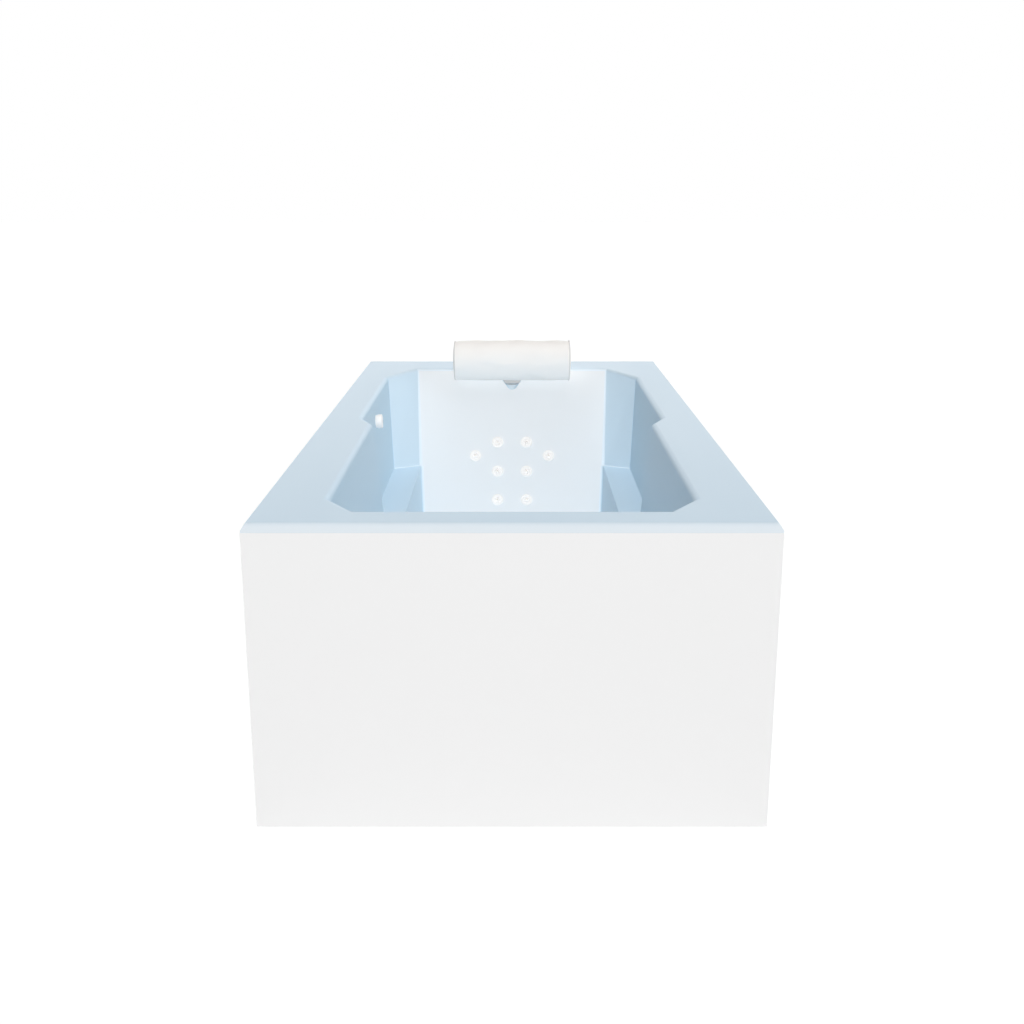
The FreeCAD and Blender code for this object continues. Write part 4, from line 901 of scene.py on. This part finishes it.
# ---- pillow
@dataclass(frozen=True)
class HeadPillow:
    """Bolster on the head-end rim: stuffed skin, piping at both seams, and the tongue in the scoop."""

    form: TubForm = TubForm()
    shell: TubShell = TubShell()
    axis_y: float = 0.743
    axis_z: float = 0.535
    half_length: float = 0.1675
    seam: float = 0.1608
    crown_radius: float = 0.0570
    seam_radius: float = 0.0557
    start_radius: float = 0.0525
    cap: float = 0.006
    voxel: float = 0.005
    frames: int = 20
    gap: float = 0.0004
    piping_radius: float = 0.0012
    piping_proud: float = 0.0004
    dent: float = 0.0034
    dents_along: float = 19.0
    dents_round: float = 1.2
    slump: float = 0.0022
    slump_from: float = 0.45
    groove: float = 0.0010
    groove_width: float = 0.0025
    shrunk: float = 0.25
    corner: float = 0.012
    tongue_proud: float = 0.0025
    tongue_gap: float = 0.0015
    tongue_reach: Spot = (0.0032, 0.028)
    tongue_edge: float = 0.0022

    def rest(self, point: Vector) -> Vector:
        """A point carried out of the deck and the backrest, to the nearer of their faces."""
        lean = math.radians(self.form.recline)
        outward = Vector((0, math.cos(lean), -math.sin(lean)))
        face = Vector((0, self.form.head_y(self.form.deck), self.form.deck))
        under = self.form.deck + self.gap - point.z
        behind = (point - face).dot(outward) + self.gap
        if under <= 0 or behind <= 0:
            return point
        share = under / (under + behind)
        moved = Vector(point)
        if under < behind + self.corner * (share - 0.5):
            moved.z += under
        else:
            moved -= outward * behind
        return moved

    def blank(self) -> BMesh:
        """The bolster before it is stuffed, lying along X at its place."""
        half, radius = self.half_length - 0.003, self.start_radius
        bm = lathe([(0, -half), (radius * 0.72, -half), (radius * 0.95, -half + 0.002),
                    (radius, -half + 0.007), (radius * 1.01, 0), (radius, half - 0.007),
                    (radius * 0.95, half - 0.002), (radius * 0.72, half), (0, half)], 64)
        turn = Matrix.Translation((0, self.axis_y, self.axis_z)) @ Matrix.Rotation(math.radians(90), 4, "Y")
        bm.transform(turn)
        return bm

    def stuffed(self) -> Piece:
        """The stuffed skin, blown up as cloth and held at its seams."""
        piece = finished("head_pillow", self.blank(), PILLOW_SKIN)
        modify(piece, "REMESH", mode="VOXEL", voxel_size=self.voxel)
        settle(piece)
        before = [v.co.copy() for v in piece.data.vertices]
        self.blow_up(piece)
        self.shape(piece, before)
        modify(piece, "SUBSURF", levels=1, render_levels=1)
        settle(piece)
        for vert in piece.data.vertices:
            vert.co = self.rest(vert.co)
        clad(piece, PILLOW_SKIN)
        piece.data.shade_smooth()
        return piece

    def blow_up(self, piece: Piece) -> None:
        """Runs the cloth with air pressure inside and its seams pinned, and keeps the result."""
        pins = piece.vertex_groups.new(name="seams")
        for vert in piece.data.vertices:
            off_axis = math.hypot(vert.co.y - self.axis_y, vert.co.z - self.axis_z)
            if abs(abs(vert.co.x) - self.seam) < self.voxel and off_axis > self.start_radius * 0.9:
                pins.add([vert.index], 1.0, "REPLACE")
        cloth = modify(piece, "CLOTH")
        for key, setting in (("quality", 5), ("mass", 0.3), ("tension_stiffness", 12),
                             ("compression_stiffness", 12), ("bending_stiffness", 0.4), ("use_pressure", True),
                             ("uniform_pressure_force", 4.0), ("vertex_group_mass", "seams")):
            setattr(cloth.settings, key, setting)
        cloth.settings.effector_weights.gravity = 0
        cloth.collision_settings.use_self_collision = False
        cloth.point_cache.frame_start, cloth.point_cache.frame_end = 1, self.frames
        scene = bpy.context.scene
        for number in range(1, self.frames + 1):
            scene.frame_set(number)
        settle(piece)
        scene.frame_set(1)

    def shape(self, piece: Piece, before: list[Vector]) -> None:
        """Holds the blown-up skin to its outline and adds soft dents.

        Args:
            piece: the skin.
            before: where its points were before the cloth moved them.
        """
        for vert, start in zip(piece.data.vertices, before):
            move = vert.co - start
            if move.length > self.cap:
                vert.co = start + move * (self.cap / move.length)
            along = min(1.0, abs(vert.co.x) / self.seam)
            limit = self.crown_radius - (self.crown_radius - self.seam_radius) * along ** 3
            arm = Vector((0, vert.co.y - self.axis_y, vert.co.z - self.axis_z))
            limit -= self.slump * max(0.0, -vert.co.x / self.seam - self.slump_from) ** 2 / 0.3
            around = math.atan2(arm.z, arm.y) * self.dents_round
            dent = self.dent * noise.noise(Vector((vert.co.x * self.dents_along, around, 3.0)))
            groove = self.groove * math.exp(-((abs(vert.co.x) - self.seam) / self.groove_width) ** 2)
            if arm.length >= self.start_radius * 0.9:
                slack = max(0.0, limit - arm.length)
                arm = arm.normalized() * (limit - self.shrunk * slack + dent - groove)
                vert.co = Vector((vert.co.x, self.axis_y + arm.y, self.axis_z + arm.z))
            vert.co.x = max(-self.half_length, min(self.half_length, vert.co.x))
            vert.co = self.rest(vert.co)

    def piping(self, side: int) -> BMesh:
        """One seam's piping, lying round the bolster and over what it rests on."""
        radius = self.seam_radius + self.piping_proud - (self.slump if side < 0 else 0.0)
        turns = [math.tau * step / 8 for step in range(8)]
        pipe = [(radius + self.piping_radius * math.cos(a), self.piping_radius * math.sin(a)) for a in turns]
        bm = lathe(pipe, 128, closed=True)
        turn = (Matrix.Translation((side * self.seam, self.axis_y, self.axis_z))
                @ Matrix.Rotation(math.radians(90), 4, "Y"))
        bm.transform(turn)
        for vert in bm.verts:
            vert.co = self.rest(vert.co)
        return bm

    def tongue(self) -> Piece:
        """The tongue that lies in the scoop: a flared tab with rounded edges."""
        gap, (start, end) = self.tongue_gap, self.tongue_reach
        (knee, knee_at), (top, top_at) = self.shell.scoop_knee, self.shell.scoop_top
        low = knee - (knee_at - start) / tan(self.shell.scoop_turn) - gap
        high = knee + (top - knee) * (end - knee_at) / (top_at - knee_at) - gap
        bm = lathe([(0.0, start), (low, start), (knee - gap, knee_at), (high, end), (0.0, end)], 64)
        bm.transform(Matrix.Rotation(math.radians(-90), 4, "X"))
        sliced(bm, (0, 0, -self.tongue_proud), (0, 0, -1))
        bmesh.ops.recalc_face_normals(bm, faces=bm.faces)
        bmesh.ops.bevel(bm, geom=[e for e in bm.edges if e.calc_face_angle(0) > math.radians(35)],
                        offset=self.tongue_edge, offset_type="OFFSET", affect="EDGES", segments=4, profile=0.5,
                        material=-1)
        return finished("pillow_tongue_tab", bm, TONGUE_GREY, 50.0,
                        self.form.on_backrest(0, self.shell.scoop_height))

    def build(self) -> None:
        """Makes the pillow, its piping and its tongue."""
        body = Body.PILLOW.value
        pillow = mounted(self.stuffed(), body, "pillow_skin", "pillow")
        for side, hand in ((-1, "left"), (1, "right")):
            # The piping gets the darker grey that paints the shade along the seams
            mounted(finished("pillow_piping_" + hand, self.piping(side), SEAM_SHADE_CORD), body, "pillow_skin")
        mounted(self.tongue(), body, "tongue_grey", "pillow_tongue")


# ---- jets
@dataclass(frozen=True)
class JetFaces:
    """The eight jets' turning rings and the nozzles that tilt in them."""

    shell: TubShell = TubShell()
    steps: int = 64
    ball_centre: float = -0.001
    ball_radius: float = 0.008
    socket_radius: float = 0.00815

    def ring(self) -> BMesh:
        """A jet's ring: rounded rim, fine groove, dished mouth, ball socket and sleeve."""
        socket = arc(self.ball_centre, self.socket_radius, range(66, 127, 10))
        return lathe([
            (0.0105, 0.0060), (0.0105, -0.0028), (0.0154, -0.0028), (0.0159, -0.0031), (0.0160, -0.0040),
            (0.0157, -0.0049), (0.0150, -0.0056), (0.0142, -0.0060), (0.0131, -0.0060), (0.0129, -0.0056),
            (0.0125, -0.0054), (0.0121, -0.0056), (0.0119, -0.0060), (0.0098, -0.0060), (0.0090, -0.0058),
            (0.0082, -0.0052), (0.0076, -0.0050), (0.0073, -0.0047), *socket, (0.0066, 0.0060)],
            self.steps, closed=True)

    def nozzle(self) -> BMesh:
        """A jet's nozzle: ball, short spout and bore."""
        ball = arc(self.ball_centre, self.ball_radius, range(47, 136, 8))
        return lathe([(0.0025, 0.0046), (0.0025, -0.0072), (0.0029, -0.0080), (0.0040, -0.0080),
                      (0.0044, -0.0077), (0.0048, -0.0066), *ball, (0.0055, 0.0046)], self.steps, closed=True)

    def build(self) -> None:
        """Makes the eight rings and nozzles."""
        places = [(side * x, z) for x, z in self.shell.jets for side in (-1, 1)]
        for number, (x, z) in enumerate(places, 1):
            for kind, mesh in (("ring", self.ring()), ("nozzle", self.nozzle())):
                node = "jet_%s_%d" % (kind, number)
                piece = finished("jet_%s_face_%d" % (kind, number), mesh, JET_WHITE, 40.0,
                                 self.shell.form.on_backrest(x, z))
                mounted(piece, node + "_body", "jet_white", node)


# ---- push button
@dataclass(frozen=True)
class PushButton:
    """The air push button on the left shoulder wall."""

    shell: TubShell = TubShell()
    steps: int = 72

    def cap(self) -> BMesh:
        """The button's cap: rounded edge, shallow dished top, hollow skirt and stem."""
        return lathe([(0, -0.0152), (0.0070, -0.0154), (0.0118, -0.0159), (0.0140, -0.0160), (0.0156, -0.0158),
                      (0.0166, -0.0151), (0.0170, -0.0140), (0.0170, -0.0050), (0.0158, -0.0050),
                      (0.0158, -0.0135), (0.0152, -0.0140), (0.0060, -0.0140), (0.0060, 0.0140), (0, 0.0140)],
                     self.steps)

    def build(self) -> None:
        """Makes the cap."""
        cap = finished("button_cap_face", self.cap(), JET_WHITE, 40.0,
                       self.shell.form.on_left_shoulder(*self.shell.button))
        mounted(cap, Body.BUTTON.value, "jet_white", "button_cap")


# ---- the frame's own nodes
@dataclass(frozen=True)
class NodeDress:
    """The finish and edge rounding of nodes whose shape is kept."""

    finish: Finish
    edge: float
    nodes: tuple[str, ...]


KEPT_NODES: tuple[NodeDress, ...] = (
    NodeDress(PLYWOOD, 0.0008, ("base_board",)),
    NodeDress(GALVANISED, 0.0008, ("frame_rails", "frame_cross_bars", "frame_posts", "skirt_clips")),
    NodeDress(FOOT_STEEL, 0.0006, ("foot_lock_nuts", "foot_foot_left", "foot_foot_right", "foot_head_left",
                                   "foot_head_right")),
    NodeDress(PANEL, 0.0004, ("skirt_foot_end", "skirt_head_end", "skirt_left", "skirt_right")),
    NodeDress(WHITE_PVC, 0.0005, ("jet_bodies", "fitting_nuts", "water_manifold", "air_manifold",
                                  "suction_body", "suction_pipe", "overflow_pipe", "drain_shoe")),
    NodeDress(RUBBER, 0.0003, ("gaskets",)),
    NodeDress(BLACK_PLASTIC, 0.0006, ("pump_volute", "pump_cover", "pump_foot", "terminal_box", "cable_gland",
                                      "fan_cover")),
    NodeDress(IMPELLER_PLASTIC, 0.0004, ("pump_impeller", "motor_fan")),
    NodeDress(MOTOR_ALUMINIUM, 0.0004, ("motor_housing",)),
    NodeDress(SHAFT_STEEL, 0.0005, ("motor_shaft",)),
    NodeDress(JET_WHITE, 0.0008, ("suction_cover", "button_bezel")),
    NodeDress(CHROME, 0.0008, ("drain_flange", "drain_stopper", "overflow_plate", "overflow_knob")),
    NodeDress(CLEAR_HOSE, 0.0, ("air_tube",)),
)


# ---- studio
@dataclass(frozen=True)
class Studio:
    """Camera, lamps, white surround and pale floor."""

    camera_at: Point = (0.0, -2.7423, 1.0253)
    camera_tilt: float = 75.0
    lens: float = 43.456
    ambient: float = 0.18

    def camera(self) -> None:
        """The photograph's view: level, square on to the foot end, looking down 15 degrees."""
        lens = bpy.data.cameras.new("camera")
        lens.lens = self.lens
        lens.sensor_width = 36.0
        camera = linked("camera", lens)
        camera.location = self.camera_at
        camera.rotation_euler = (math.radians(self.camera_tilt), 0, 0)
        bpy.context.scene.camera = camera

    def lamp(self, name: str, toward: Point, strength: float, angle: float = 60.0) -> None:
        """A broad distant lamp that casts no shadow.

        Args:
            name: its name.
            toward: the direction from the tub to the lamp.
            strength: its power.
            angle: its apparent width in degrees.
        """
        light = bpy.data.lights.new(name, "SUN")
        light.use_shadow = False
        light.energy = strength
        light.angle = math.radians(angle)
        linked(name, light).rotation_euler = Vector(toward).to_track_quat("Z", "Y").to_euler()

    def surround(self) -> None:
        """World: plain white to the camera and to reflections, dimmer as light."""
        world = bpy.data.worlds.new("surround")
        world.use_nodes = True
        graph = Graph(world.node_tree)
        sky = graph.node("ShaderNodeBackground", None,
                         {"Color": (1, 1, 1), "Strength": graph.spread(graph.seen(), self.ambient, 1.0)})
        graph.node("ShaderNodeOutputWorld", None, {"Surface": sky}, None)
        bpy.context.scene.world = world

    def floor(self) -> None:
        """A white floor that keeps a faint shadow of the tub."""
        bm = bmesh.new()
        bmesh.ops.create_grid(bm, x_segments=1, y_segments=1, size=30.0)
        mesh = mesh_of("studio_floor", bm)
        shader = Shader("studio_floor")
        shader.set(Base_Color=(0.42, 0.42, 0.42), Roughness=1.0, Specular_IOR_Level=0.0)
        shader.set(Emission_Color=shader.mix(shader.seen(), (0.0, 0.0, 0.0), (0.70, 0.70, 0.70)),
                   Emission_Strength=1.0)
        mesh.materials.append(shader.material)
        floor = linked("studio_floor", mesh)
        floor.location.z = -0.0005

    def build(self) -> None:
        """Sets the studio up."""
        bpy.context.scene.view_settings.view_transform = "Standard"
        self.camera()
        self.surround()
        self.lamp("key", (0.0, -0.98, 0.20), 1.87, 50.0)
        self.lamp("top", (0.0, 0.0, 1.0), 0.95)
        self.lamp("right_fill", (0.98, 0.0, 0.20), 1.28)
        self.lamp("left_fill", (-0.98, 0.0, 0.20), 0.12)
        self.lamp("back_fill", (0.0, 0.95, 0.3), 0.50)
        self.floor()


def main() -> None:
    """Builds the studio and every piece."""
    logging.basicConfig(level=logging.INFO, format="%(name)s: %(message)s")
    for lump in list(bpy.context.scene.objects):
        if lump.name in ("Cube", "Light", "Camera"):
            bpy.data.objects.remove(lump)
    Studio().build()
    TubShell().build()
    HeadPillow().build()
    JetFaces().build()
    PushButton().build()
    for dress in KEPT_NODES:
        for node in dress.nodes:
            dress_node(node, dress.finish, dress.edge)


if __name__ == "__main__":
    main()
